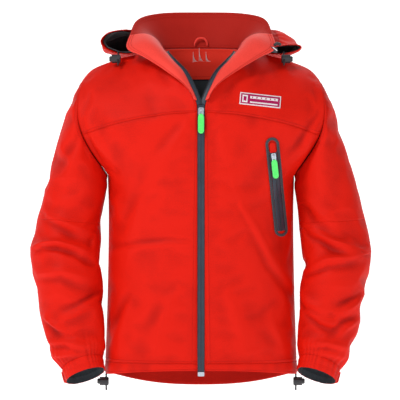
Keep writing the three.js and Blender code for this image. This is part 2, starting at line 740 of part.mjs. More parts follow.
// A trough round the back of the collar, at each angle from straight back: from the rim, which lies
// close behind the collar, out and down round the belly, and in again to the neck edge.
const HOOD_SWEEP = 1.62;
const HOOD_SEAT = 4.4; // from the neck seam out to the hood, over the foot of the leaning collar
function hoodPoint(angle, w) {
  const [sin, cos] = [Math.sin(angle), Math.max(Math.cos(angle), 0)];
  const side = smooth(Math.abs(angle), 0.35, HOOD_SWEEP);
  const drop = mix(HOOD_DROP, 22, side ** 0.5);
  const out = mix(HOOD_BACK - NECK_BACK, HOOD_HALF - 140, side);
  const rim = V(mix(148, 162, side) * sin, mix(0, 150, cos) - 14 * side, mix(HOOD_RIM_Z + 12, HOOD_RIM_Z, side));
  const neck = V(150 * sin, mix(0, NECK_BACK + HOOD_SEAT, cos) - 22 * side, mix(NECK_BACK_Z + 10, 49, side));
  const push = V(out * 1.25 * sin, out * 0.7 * cos, 0);
  const upper = rim.clone().add(push).add(V(0, 0, -drop * 0.2));
  const lower = neck.clone().add(push).add(V(0, 0, 20 * side - drop));
  return new THREE.CubicBezierCurve3(rim, upper, lower, neck).getPoint(w);
}
const HOOD_COLUMNS = 16;
const HOOD_ROWS = 8;
const hoodGrid = Array.from({ length: HOOD_ROWS + 1 }, (_, i) =>
  Array.from({ length: HOOD_COLUMNS + 1 }, (_, j) =>
    hoodPoint(mix(-HOOD_SWEEP, HOOD_SWEEP, j / HOOD_COLUMNS), i / HOOD_ROWS),
  ),
);
const hoodSpine = hoodGrid[0].map((rim, j) => rim.clone().lerp(hoodGrid[HOOD_ROWS][j], 0.5));
function hoodInset(p, depth) {
  const away = (q) => Math.hypot(q.x - p.x, q.y - p.y);
  const nearest = hoodSpine.reduce((best, q) => (away(q) < away(best) ? q : best));
  return p.clone().addScaledVector(nearest.clone().sub(p).normalize(), depth);
}
add("hood_shell", sheet(hoodGrid, hoodInset, SHELL), RED);
add("hood_lining", sheet(hoodGrid, hoodInset, LINING, LINING_START), DARK_LINING);

// ---- Surface queries ----------------------------------------------------------------------------

// The point of a panel straight ahead of or behind (x, z): direction 1 looks from the front.
function onPanel(mesh, x, z, direction = 1) {
  mesh.material.side = THREE.DoubleSide;
  const ray = new THREE.Raycaster(V(x, -500 * direction, z), V(0, direction, 0));
  return ray.intersectObject(mesh)[0].point;
}
const chestY = (x, z) => {
  const mesh = z > -100 ? panels.front_yoke_left : panels.front_body_left;
  return onPanel(mesh, x, z).y;
};
const forward = (p, depth) => V(p.x, p.y - depth, p.z);

// ---- Front zip ----------------------------------------------------------------------------------

const TAPE_BOTTOM_Z = HEM_FRONT_Z - 2;
const TAPE_FRONT_Y = -CHEST_FRONT - 0.2;
const tapeBox = (width, top, bottom, thick) =>
  new THREE.BoxGeometry(width, thick, top - bottom).translate(0, 0, (top + bottom) / 2);
for (const [side, sign] of SIDES) {
  const width = TAPE_HALF - RUNNING_GAP;
  const tape = tapeBox(width, ZIP_TOP_Z + 6, TAPE_BOTTOM_Z, TAPE_THICK);
  const mesh = add(`zip_tape_${side}`, tape, TAPE_NAVY);
  mesh.position.set(sign * (RUNNING_GAP + width / 2), TAPE_FRONT_Y + TAPE_THICK / 2, 0);
}
const chainY = TAPE_FRONT_Y + TAPE_THICK + RUNNING_GAP + CHAIN_THICK / 2;
const chain = tapeBox(CHAIN_WIDTH, ZIP_TOP_Z, TAPE_BOTTOM_Z, CHAIN_THICK);
add("zip_chain", chain, STEEL).position.set(0, chainY, 0);

// The tapes above the slider part and follow the open front's edges up to the neck.
const OPEN_TAPE_START = 0.14;
const OPEN_TAPE_END = 0.9;
for (const [side, sign] of SIDES) {
  const steps = 8;
  const grid = [0, 1].map((across) =>
    Array.from({ length: steps + 1 }, (_, i) => {
      const p = openFront(mix(OPEN_TAPE_START, OPEN_TAPE_END, i / steps));
      const inner = p.x - SEAM_GAP - across * (TAPE_HALF - RUNNING_GAP);
      return V(sign * inner, p.y + 2 * across, p.z);
    }),
  );
  const back = (p, depth) => forward(p, -depth);
  add(`zip_tape_open_${side}`, sheet(grid, back, TAPE_THICK), TAPE_NAVY);
}

// A slider: a plate with an eye in front, its top middle at the origin, and its back on y = 0.
const EYE_RADIUS = 1.7;
const EYE_WALL = 1.3;
const EYE_OUT = SLIDER_THICK + EYE_RADIUS + 0.6;
const EYE_DROP = 5;
function sliderGeometry(width, height) {
  const body = plate(width, height, SLIDER_THICK, 3).translate(0, -SLIDER_THICK / 2, -height / 2);
  const eye = new THREE.Shape();
  const reach = EYE_RADIUS + EYE_WALL;
  eye.absarc(0, 0, reach, 0, Math.PI * 2, false);
  const hole = new THREE.Path();
  hole.absarc(0, 0, EYE_RADIUS, 0, Math.PI * 2, true);
  eye.holes.push(hole);
  const thick = LINK_WIDTH - 2;
  const ring = new THREE.ExtrudeGeometry(eye, { depth: thick, bevelEnabled: false, curveSegments: 8 });
  ring.translate(0, 0, -thick / 2).rotateY(Math.PI / 2).translate(0, -EYE_OUT, -EYE_DROP);
  return geometryOf(solidOf(body).add(solidOf(ring)));
}

// A pull: a wire link through the slider's eye and a moulded tab on it. The eye is at the origin.
const LINK_LENGTH = 14;
const TAB_GRIP = 5;
function addPull(parent, prefix, width, length) {
  const outer = LINK_WIDTH + 2 * LINK_WIRE;
  const hole = { width: LINK_WIDTH, height: LINK_LENGTH - 2 * LINK_WIRE, radius: 1 };
  const wire = plate(outer, LINK_LENGTH, LINK_WIRE, 2, hole);
  const top = LINK_WIRE / 2;
  add(`${prefix}_pull_link`, wire.translate(0, 0, top - LINK_LENGTH / 2), STEEL, parent);
  const tabTop = top - LINK_LENGTH + TAB_GRIP;
  const tab = plate(width, length, PULL_THICK, width / 2 - 0.5).translate(0, 0, tabTop - length / 2);
  const slot = new THREE.BoxGeometry(outer + 2 * RUNNING_GAP, LINK_WIRE + 2 * RUNNING_GAP, 2 * TAB_GRIP);
  const slotZ = tabTop - RUNNING_GAP;
  add(`${prefix}_pull_tab`, cut(tab, slot.translate(0, 0, slotZ)), GREEN, parent);
}

const zipSlider = new THREE.Group();
zipSlider.position.set(0, TAPE_FRONT_Y - RUNNING_GAP, ZIP_TOP_Z);
root.add(zipSlider);
add("zip_slider", sliderGeometry(SLIDER_WIDTH, SLIDER_HEIGHT), STEEL, zipSlider);
const zipPull = new THREE.Group();
zipPull.position.set(0, -EYE_OUT, -EYE_DROP);
zipSlider.add(zipPull);
addPull(zipPull, "zip", PULL_WIDTH, PULL_LENGTH);

const box = plate(2 * TAPE_HALF - 1, ZIP_BOX_HEIGHT, 5, 2);
add("zip_box", box, STEEL).position.set(
  0,
  TAPE_FRONT_Y + TAPE_THICK / 2,
  TAPE_BOTTOM_Z - RUNNING_GAP - ZIP_BOX_HEIGHT / 2,
);

// ---- Chest pocket -------------------------------------------------------------------------------

const pocketRun = POCKET_BOTTOM.clone().sub(POCKET_TOP);
const pocketLength = pocketRun.length();
const pocketDown = pocketRun.clone().normalize();
const pocketOut = new THREE.Vector2(-pocketDown.y, pocketDown.x);

// A place on the chest given along the pocket from its top and across it, standing proud of the cloth.
function pocketPoint(down, across, proud) {
  const p = POCKET_TOP.clone().addScaledVector(pocketDown, down).addScaledVector(pocketOut, across);
  return V(p.x, chestY(p.x, p.y) - proud, p.y);
}

function pocketOutline(inset, proud) {
  const radius = POCKET_WIDTH / 2 - inset;
  const turns = 6;
  const ends = [
    [POCKET_WIDTH / 2, Math.PI],
    [pocketLength - POCKET_WIDTH / 2, 0],
  ];
  const points = [];
  const sides = 16;
  for (const [middle, from] of ends) {
    for (let k = 0; k <= turns; k++) {
      const angle = from + (Math.PI * k) / turns;
      points.push([middle + radius * Math.sin(angle), radius * Math.cos(angle)]);
    }
    const [down, across] = points.at(-1);
    const goal = from ? pocketLength - POCKET_WIDTH / 2 : POCKET_WIDTH / 2;
    for (let k = 1; k < sides; k++) points.push([mix(down, goal, k / sides), across]);
  }
  return points.map(([down, across]) => pocketPoint(down, across, proud));
}

// A ring from four outlines: under inside, under outside, over outside, over inside.
function ringSolid(outlines) {
  const count = outlines[0].length;
  const points = outlines.flat();
  const quads = [];
  outlines.forEach((_, r) => {
    const next = (r + 1) % outlines.length;
    for (let k = 0; k < count; k++) {
      const after = (k + 1) % count;
      quads.push([r * count + k, r * count + after, next * count + after, next * count + k]);
    }
  });
  return closedFaces(points, quads);
}
const low = POCKET_SEAT;
const high = POCKET_SEAT + POCKET_THICK;
const pocketRings = [
  [POCKET_BORDER, low],
  [0, low],
  [0, high],
  [POCKET_BORDER, high],
];
add("pocket_frame", ringSolid(pocketRings.map(([inset, proud]) => pocketOutline(inset, proud))), GREY);

const WELL = POCKET_BORDER + SEAM_GAP;
function pocketStrip(from, to, halfWidth, thickness, start) {
  const steps = Math.max(2, Math.round((to - from) / 8));
  const grid = [];
  for (let i = 0; i <= steps; i++) {
    const down = mix(from, to, i / steps);
    grid.push([-1, 0, 1].map((a) => pocketPoint(down, a * halfWidth, start + thickness)));
  }
  return sheet(grid, (p, depth) => forward(p, -depth), thickness);
}
const GARAGE_LENGTH = 22;
const tapeHalf = POCKET_WIDTH / 2 - WELL;
const garageFrom = WELL + tapeHalf * 0.5;
const tapeFrom = garageFrom + GARAGE_LENGTH;
const tapeTo = pocketLength - WELL - tapeHalf * 0.7;
add("pocket_garage", pocketStrip(garageFrom, tapeFrom, tapeHalf - 2, 1.2, low), RED);
add("pocket_zip_tape", pocketStrip(tapeFrom, tapeTo, tapeHalf - 0.5, 1, low), TAPE_NAVY);

// The pocket's slider runs straight, clear of the curved chest along its whole travel.
const POCKET_SLIDER_WIDTH = 10;
const POCKET_SLIDER_HEIGHT = 13;
const POCKET_PULL_WIDTH = 13;
const POCKET_PULL_LENGTH = 42;
const POCKET_SLIDER_ROOM = 0.7; // between the slider's plate and the foremost point of the pocket zip
const foremost = (down) => {
  const p = pocketPoint(down, 0, 0);
  const edges = [-0.5, 0.5].map((a) => pocketPoint(down, a * POCKET_SLIDER_WIDTH, 0).y);
  return p.setY(Math.min(p.y, ...edges));
};
const sliderStart = foremost(tapeFrom + 1);
const sliderStop = foremost(tapeTo - 1);
const slope = (sliderStop.y - sliderStart.y) / (sliderStart.z - sliderStop.z);
const straightY = (z) => sliderStart.y + slope * (sliderStart.z - z);
const bump = Array.from({ length: 30 }, (_, i) => {
  const p = foremost(mix(tapeFrom, tapeTo, i / 29));
  return straightY(p.z) - p.y;
});
const pocketStand = Math.max(...bump) + low + 1 + POCKET_SLIDER_ROOM;
const pocketSlider = new THREE.Group();
pocketSlider.position.set(sliderStart.x, sliderStart.y - pocketStand, sliderStart.z);
const tilt = Math.atan2(pocketDown.x, -pocketDown.y);
pocketSlider.rotation.set(Math.atan(slope), -tilt, 0, "YXZ");
root.add(pocketSlider);
add(
  "pocket_slider",
  sliderGeometry(POCKET_SLIDER_WIDTH, POCKET_SLIDER_HEIGHT),
  STEEL,
  pocketSlider,
);
const pocketPull = new THREE.Group();
pocketPull.position.set(0, -EYE_OUT, -EYE_DROP);
pocketSlider.add(pocketPull);
addPull(pocketPull, "pocket", POCKET_PULL_WIDTH, POCKET_PULL_LENGTH);

// The pocket's bag hangs behind the lining of the front, between the zip and the side.
function pocketBag() {
  const columns = 6;
  const rows = 10;
  const grid = [];
  for (let i = 0; i <= rows; i++) {
    const down = mix(0, pocketLength * 0.9, i / rows);
    const row = [];
    for (let j = 0; j <= columns; j++) {
      const across = mix(-POCKET_BAG_WIDTH, POCKET_WIDTH / 2, j / columns);
      row.push(pocketPoint(down, across, 0));
    }
    grid.push(row);
  }
  return sheet(grid, bodyInset, POCKET_BAG_DEPTH, LINING_START + LINING + 1.9);
}
add("pocket_bag", pocketBag(), DARK_LINING);

// ---- Chest badge and hanger loop ----------------------------------------------------------------

function tiltedGrid(centre, size, angle, columns, rows, place) {
  return Array.from({ length: rows + 1 }, (_, i) =>
    Array.from({ length: columns + 1 }, (_, j) => {
      const p = new THREE.Vector2(size.x * (j / columns - 0.5), size.y * (i / rows - 0.5));
      p.rotateAround(new THREE.Vector2(), angle).add(centre);
      return place(p.x, p.y);
    }),
  );
}
const badgeGrid = tiltedGrid(BADGE_CENTRE, BADGE_SIZE, BADGE_TILT, 12, 4, (x, z) =>
  V(x, chestY(x, z) - TRIM_GAP - BADGE_THICK, z),
);
add("chest_badge", sheet(badgeGrid, (p, depth) => forward(p, -depth), BADGE_THICK), PALE);

const LOOP_HALF = 15;
const LOOP_RISE = 18;
const loopY = NECK_BACK - SHELL - CORD_RADIUS - 1.9;
const loopZ = NECK_BACK_Z + 4;
add(
  "hanger_loop",
  cord(
    [
      V(-LOOP_HALF, loopY, loopZ),
      V(-LOOP_HALF * 0.8, loopY, loopZ + LOOP_RISE * 0.5),
      V(0, loopY + 1, loopZ + LOOP_RISE),
      V(LOOP_HALF * 0.8, loopY, loopZ + LOOP_RISE * 0.5),
      V(LOOP_HALF, loopY, loopZ),
    ],
    12,
  ),
  FACING,
);

// ---- Cord locks ---------------------------------------------------------------------------------

const PRESS = 3; // a plunger's travel
const CAVITY = PLUNGER_DEPTH + PRESS + RUNNING_GAP;
const CORD_AT = 5.5; // the cord hole's place from the barrel's closed end
const lathe = (points) => new THREE.LatheGeometry(points.map(([r, h]) => new THREE.Vector2(r, h)), 14);

function barrelGeometry() {
  const bore = PLUNGER_RADIUS + RUNNING_GAP;
  const bottom = LOCK_HEIGHT - CAVITY;
  const cup = lathe([
    [0, 0],
    [LOCK_RADIUS - 2, 0],
    [LOCK_RADIUS, 2],
    [LOCK_RADIUS, LOCK_HEIGHT - 1.5],
    [LOCK_RADIUS - 1.5, LOCK_HEIGHT],
    [bore, LOCK_HEIGHT],
    [bore, bottom],
    [0, bottom],
  ]).rotateZ(-Math.PI / 2);
  const holes = [-1, 1].map((end) => {
    const hole = new THREE.CylinderGeometry(CORD_HOLE, CORD_HOLE, 3 * LOCK_RADIUS, 12);
    return hole.rotateX(Math.PI / 2).translate(CORD_AT, (end * CORD_SPREAD) / 2, 0);
  });
  return cut(cup, ...holes);
}

// A lock on its cord loop. The loop hangs down from the origin; outward is the plunger's direction.
function addLock(name, place, outward, hang, drop) {
  const group = new THREE.Group();
  group.position.copy(place);
  root.add(group);
  const y = CORD_SPREAD / 2;
  const bottom = -(hang + LOCK_RADIUS + drop);
  const loop = cord(
    [
      V(0, -y, 0),
      V(0, -y, bottom * 0.5),
      V(0, -y, bottom),
      V(0, -y * 0.7, bottom - y * 0.75),
      V(0, 0, bottom - y),
      V(0, y * 0.7, bottom - y * 0.75),
      V(0, y, bottom),
      V(0, y, bottom * 0.5),
      V(0, y, 0),
    ],
    22,
  );
  add(`${name}_cord`, loop, BLACK, group);
  const lock = new THREE.Group();
  lock.position.set(-outward * CORD_AT, 0, -hang);
  lock.rotation.z = outward < 0 ? Math.PI : 0;
  group.add(lock);
  add(`${name}_barrel`, barrelGeometry(), BLACK, lock);
  const stem = lathe([
    [0, 0],
    [PLUNGER_RADIUS, 0],
    [PLUNGER_RADIUS, PLUNGER_DEPTH + PLUNGER_PROUD - 1.5],
    [PLUNGER_RADIUS - 1.5, PLUNGER_DEPTH + PLUNGER_PROUD],
    [0, PLUNGER_DEPTH + PLUNGER_PROUD],
  ]).rotateZ(-Math.PI / 2);
  const plunger = add(`${name}_plunger`, stem, BLACK, lock);
  plunger.position.x = LOCK_HEIGHT - PLUNGER_DEPTH;
  return group;
}

const HEM_LOCK_AT = 0.92; // along the front hem from the centre to the side
const hemLock = bodyInset(frontHemEdge(HEM_LOCK_AT), SHELL / 2);
const HOOD_FOOT = 0.86; // where round the hood's end its cord comes out
const foot = hoodPoint(HOOD_SWEEP, HOOD_FOOT);
const HOOD_HANG = 20;
const CORD_TUCK = 1.1; // brings the slanting cord up to the hood's end

// The lean of the shoulder under the hood's locks, so that they lie along it.
function shoulderLean(x, y) {
  const down = (at) => {
    const ray = new THREE.Raycaster(V(x, at, 300), V(0, 0, -1));
    return ray.intersectObject(panels.front_yoke_left)[0].point;
  };
  const slope = down(y - 6).sub(down(y + 6));
  return Math.atan2(slope.y, -slope.z);
}
for (const [side, sign] of SIDES) {
  const hemPlace = V(sign * hemLock.x, hemLock.y, hemLock.z - RUNNING_GAP);
  addLock(`hem_lock_${side}`, hemPlace, sign, 16, 6);
  const place = V(sign * foot.x, foot.y + CORD_TUCK, foot.z);
  const hood = addLock(`hood_lock_${side}`, place, sign, HOOD_HANG, 6);
  hood.rotation.x = shoulderLean(foot.x, foot.y - HOOD_HANG);
}

export default root;
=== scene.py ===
"""A red foul weather jacket: sewn shell, lining, sleeves, collar, folded hood, zips, cord locks and trim.

Lengths inside the classes are millimetres in the part's own frame, and turn into metres when a mesh is made.
"""

from __future__ import annotations

import json
import logging
import math
from dataclasses import dataclass, field
from enum import Enum
from functools import partial
from typing import Callable, Optional, Sequence, Union

import bmesh
import bpy
import numpy as np
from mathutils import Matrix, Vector, noise
from mathutils.bvhtree import BVHTree

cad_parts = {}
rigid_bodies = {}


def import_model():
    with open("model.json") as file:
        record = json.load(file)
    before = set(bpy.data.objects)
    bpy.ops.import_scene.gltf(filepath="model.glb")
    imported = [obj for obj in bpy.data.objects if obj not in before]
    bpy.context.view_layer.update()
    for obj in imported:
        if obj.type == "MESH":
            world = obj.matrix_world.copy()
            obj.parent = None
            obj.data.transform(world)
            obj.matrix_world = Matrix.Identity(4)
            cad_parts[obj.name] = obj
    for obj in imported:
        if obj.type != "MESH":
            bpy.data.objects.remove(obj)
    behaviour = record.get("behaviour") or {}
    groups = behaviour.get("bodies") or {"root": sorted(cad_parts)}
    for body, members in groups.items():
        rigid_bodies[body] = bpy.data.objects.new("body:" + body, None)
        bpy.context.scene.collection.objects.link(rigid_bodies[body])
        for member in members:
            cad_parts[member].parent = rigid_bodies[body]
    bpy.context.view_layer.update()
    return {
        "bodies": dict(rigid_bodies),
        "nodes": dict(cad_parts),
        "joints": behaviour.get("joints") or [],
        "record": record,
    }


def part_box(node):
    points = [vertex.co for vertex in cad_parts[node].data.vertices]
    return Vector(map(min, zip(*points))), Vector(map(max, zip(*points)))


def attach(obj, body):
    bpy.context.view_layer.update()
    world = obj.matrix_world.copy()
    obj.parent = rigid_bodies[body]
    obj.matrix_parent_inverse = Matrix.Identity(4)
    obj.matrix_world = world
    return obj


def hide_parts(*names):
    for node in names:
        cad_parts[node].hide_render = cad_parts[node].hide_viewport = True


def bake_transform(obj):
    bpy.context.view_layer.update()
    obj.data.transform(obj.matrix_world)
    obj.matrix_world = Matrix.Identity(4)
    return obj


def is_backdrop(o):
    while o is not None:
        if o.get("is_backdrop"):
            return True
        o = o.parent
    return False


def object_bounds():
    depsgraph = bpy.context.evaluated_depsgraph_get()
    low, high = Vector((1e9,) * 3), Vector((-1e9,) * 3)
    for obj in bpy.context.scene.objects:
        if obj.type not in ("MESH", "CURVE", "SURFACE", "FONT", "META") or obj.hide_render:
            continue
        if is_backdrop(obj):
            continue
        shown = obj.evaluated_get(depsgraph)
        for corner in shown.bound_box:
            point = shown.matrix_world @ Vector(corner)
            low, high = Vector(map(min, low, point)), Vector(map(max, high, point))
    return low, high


LOG = logging.getLogger("jacket")
MM = 0.001
Grid = np.ndarray
Seam = Callable[[np.ndarray], np.ndarray]
Color = tuple[float, float, float]
Value = Union[bpy.types.NodeSocket, float]
Place = tuple[float, float]
Made = list[tuple[bpy.types.Object, str]]
Stands = list[tuple[bpy.types.Object, tuple[str, ...]]]


# ---- Curves and grids ---------------------------------------------------------------------------


@dataclass(frozen=True)
class Spline:
    """A smooth curve through given points, with evenly shared parameter spans."""

    points: tuple[tuple[float, ...], ...]

    def at(self, t: np.ndarray | float) -> np.ndarray:
        """Evaluates the curve.

        Args:
            t: Places along the curve, from 0 to 1.

        Returns:
            One point per place.
        """
        p = np.array(self.points, float)
        p = np.vstack([2 * p[0] - p[1], p, 2 * p[-1] - p[-2]])
        place = np.clip(np.atleast_1d(t), 0, 1) * (len(self.points) - 1)
        k = np.minimum(place.astype(int), len(self.points) - 2)
        w = (place - k)[:, None]
        a, b, c, d = p[k], p[k + 1], p[k + 2], p[k + 3]
        gaps = [np.sqrt(np.linalg.norm(q - r, axis=1))[:, None] for q, r in ((b, a), (c, b), (d, c))]
        g0, g1, g2 = (np.maximum(g, 1e-4) for g in gaps)
        t1 = ((b - a) / g0 - (c - a) / (g0 + g1) + (c - b) / g1) * g1
        t2 = ((c - b) / g1 - (d - b) / (g1 + g2) + (d - c) / g2) * g1
        cubic = 2 * b - 2 * c + t1 + t2
        square = -3 * b + 3 * c - 2 * t1 - t2
        return b + t1 * w + square * w**2 + cubic * w**3


def mix(a: float, b: float, t: float) -> float:
    """Returns the value a share t of the way from a to b."""
    return a + (b - a) * t


def smooth(x: np.ndarray | float, low: float, high: float) -> np.ndarray:
    """Returns an eased step from 0 at low to 1 at high."""
    t = np.clip((np.asarray(x, float) - low) / (high - low), 0, 1)
    return t * t * (3 - 2 * t)


def unit(v: np.ndarray) -> np.ndarray:
    """Returns the vectors at length 1."""
    return v / np.maximum(np.linalg.norm(v, axis=-1, keepdims=True), 1e-9)


def patch(bottom: Seam, top: Seam, start: Seam, end: Seam, columns: int, rows: int, reach: float = 2) -> Grid:
    """Fills the surface between four seams.

    Args:
        bottom: Seam at the foot, run from side to side.
        top: Seam at the head, run the same way.
        start: Seam at the first side, run upwards.
        end: Seam at the other side, run upwards.
        columns: Cells across.
        rows: Cells up.
        reach: How fast the side seams' own shape fades towards the middle.

    Returns:
        The grid of points, row by row from the foot.
    """
    s = np.linspace(0, 1, columns + 1)
    t = np.linspace(0, 1, rows + 1)[:, None, None]

    def bow(seam: Seam) -> np.ndarray:
        """Measures how far a side seam leaves the straight line between its ends.

        Args:
            seam: The side seam.

        Returns:
            One offset per row.
        """
        places = t[:, 0, 0]
        ends = seam(np.array([0.0, 1.0]))
        return (seam(places) - (ends[0] + (ends[1] - ends[0]) * places[:, None]))[:, None, :]

    grid = bottom(s)[None] * (1 - t) + top(s)[None] * t
    grid = grid + bow(start) * ((1 - s) ** reach)[None, :, None]
    return grid + bow(end) * (s**reach)[None, :, None]


def mirrored(grid: Grid) -> Grid:
    """Returns the grid on the other side of the centre plane."""
    return grid * np.array([-1.0, 1.0, 1.0])


def flipped(seam: Seam) -> Seam:
    """Returns the seam on the other side of the centre plane."""

    def run(t: np.ndarray) -> np.ndarray:
        """Returns points along the seam."""
        return mirrored(seam(t))

    return run


def grid_normals(grid: Grid, closed: bool = False) -> Grid:
    """Returns unit normals of a grid, from its row and column directions."""
    if closed:
        across = np.roll(grid, -1, axis=1) - np.roll(grid, 1, axis=1)
    else:
        across = np.gradient(grid, axis=1)
    return unit(np.cross(across, np.gradient(grid, axis=0)))


# ---- Mesh making --------------------------------------------------------------------------------


def quads(rows: int, columns: int, closed: bool = False) -> np.ndarray:
    """Returns the four point numbers of every cell of a grid.

    Args:
        rows: Rows of points.
        columns: Columns of points.
        closed: Whether the last column joins the first.

    Returns:
        One row of four numbers per cell.
    """
    i = np.arange(rows - 1)[:, None]
    j = np.arange(columns if closed else columns - 1)[None, :]
    after = (j + 1) % columns
    corners = (i * columns + j, i * columns + after, (i + 1) * columns + after, (i + 1) * columns + j)
    return np.stack(corners, axis=-1).reshape(-1, 4)


def new_object(name: str, vertices: np.ndarray, faces: Sequence[Sequence[int]]) -> bpy.types.Object:
    """Makes a smooth mesh object in the scene from millimetre points.

    Args:
        name: The object's name.
        vertices: Points in millimetres.
        faces: Vertex numbers of each face.

    Returns:
        The new object.
    """
    mesh = bpy.data.meshes.new(name)
    mesh.from_pydata((np.asarray(vertices) * MM).tolist(), [], [list(f) for f in faces])
    mesh.validate()
    mesh.polygons.foreach_set("use_smooth", [True] * len(mesh.polygons))
    item = bpy.data.objects.new(name, mesh)
    bpy.context.scene.collection.objects.link(item)
    return item


def set_loop_uv(item: bpy.types.Object, per_vertex: np.ndarray, name: str = "cloth") -> None:
    """Writes a UV map from one value per vertex.

    Args:
        item: The mesh object.
        per_vertex: Two coordinates per vertex.
        name: The map's name.
    """
    layer = item.data.uv_layers.new(name=name)
    loops = np.empty(len(item.data.loops), int)
    item.data.loops.foreach_get("vertex_index", loops)
    layer.data.foreach_set("uv", per_vertex[loops].ravel())


def set_point_value(item: bpy.types.Object, name: str, values: np.ndarray) -> None:
    """Stores one number per vertex, which a finish can read."""
    attribute = item.data.attributes.new(name, "FLOAT", "POINT")
    attribute.data.foreach_set("value", values.astype(np.float32))


def cloth_uv(grid: Grid) -> np.ndarray:
    """Measures a grid along its rows and columns, so that a weave keeps its size.

    Args:
        grid: The points.

    Returns:
        Two coordinates per vertex, in metres.
    """
    across = np.linalg.norm(np.diff(grid, axis=1), axis=2).mean(axis=0)
    up = np.linalg.norm(np.diff(grid, axis=0), axis=2).mean(axis=1)
    u = np.concatenate([[0], np.cumsum(across)])
    v = np.concatenate([[0], np.cumsum(up)])
    uv = np.stack(np.meshgrid(u, v), axis=-1)
    return uv.reshape(-1, 2) * MM


@dataclass(frozen=True)
class ClothSheet:
    """A length of cloth laid on a grid of points, with its own thickness behind them."""

    grid: Grid
    thickness: float = 1.4
    closed: bool = False
    shade: Optional[np.ndarray] = None
    back: Optional[Grid] = None
    inside: Optional["Finish"] = None

    def build(self, name: str) -> bpy.types.Object:
        """Makes the closed mesh.

        Args:
            name: The object's name.

        Returns:
            The mesh object, with a cloth UV map and a painted shade value per vertex.
        """
        rows, columns = self.grid.shape[:2]
        normals = grid_normals(self.grid, self.closed)
        under = self.back if self.back is not None else self.grid - normals * self.thickness
        vertices = np.vstack([self.grid.reshape(-1, 3), under.reshape(-1, 3)])
        count = rows * columns
        front = quads(rows, columns, self.closed)
        faces = [front, front[:, ::-1] + count]
        faces.append(self._walls(rows, columns, count))
        item = new_object(name, vertices, np.vstack(faces).tolist())
        uv = cloth_uv(self.grid)
        set_loop_uv(item, np.vstack([uv, uv]))
        shade = np.zeros((rows, columns)) if self.shade is None else self.shade
        # The back face gets a fixed painted shade of -0.3.
        set_point_value(item, "shade", np.concatenate([shade.ravel(), shade.ravel() * 0 - 0.3]))
        if self.inside is not None:
            cells = len(front)
            index = np.zeros(len(item.data.polygons), int)
            index[cells : 2 * cells] = 1
            item.data.materials.append(None)
            item.data.materials.append(self.inside.material())
            item.data.polygons.foreach_set("material_index", index)
        return item

    def _walls(self, rows: int, columns: int, count: int) -> np.ndarray:
        """Closes the sheet's borders.

        Args:
            rows: Rows of points.
            columns: Columns of points.
            count: Points in one face of the sheet.

        Returns:
            The border's faces.
        """
        runs = []
        j = np.arange(columns if self.closed else columns - 1)
        after = (j + 1) % columns
        runs.append((after, j))
        last = (rows - 1) * columns
        runs.append((last + j, last + after))
        if not self.closed:
            i = np.arange(rows - 1) * columns
            runs.append((i, i + columns))
            runs.append((i + columns + columns - 1, i + columns - 1))
        walls = [np.stack([a, b, b + count, a + count], axis=-1) for a, b in runs]
        return np.vstack(walls)


def joined(name: str, items: Sequence[bpy.types.Object]) -> bpy.types.Object:
    """Joins mesh objects into the first one, keeping their finishes.

    Args:
        name: The joined object's name.
        items: The objects to join.

    Returns:
        The joined object.
    """
    with bpy.context.temp_override(active_object=items[0], selected_editable_objects=list(items)):
        bpy.ops.object.join()
    items[0].name = name
    return items[0]


# ---- Finishes -----------------------------------------------------------------------------------


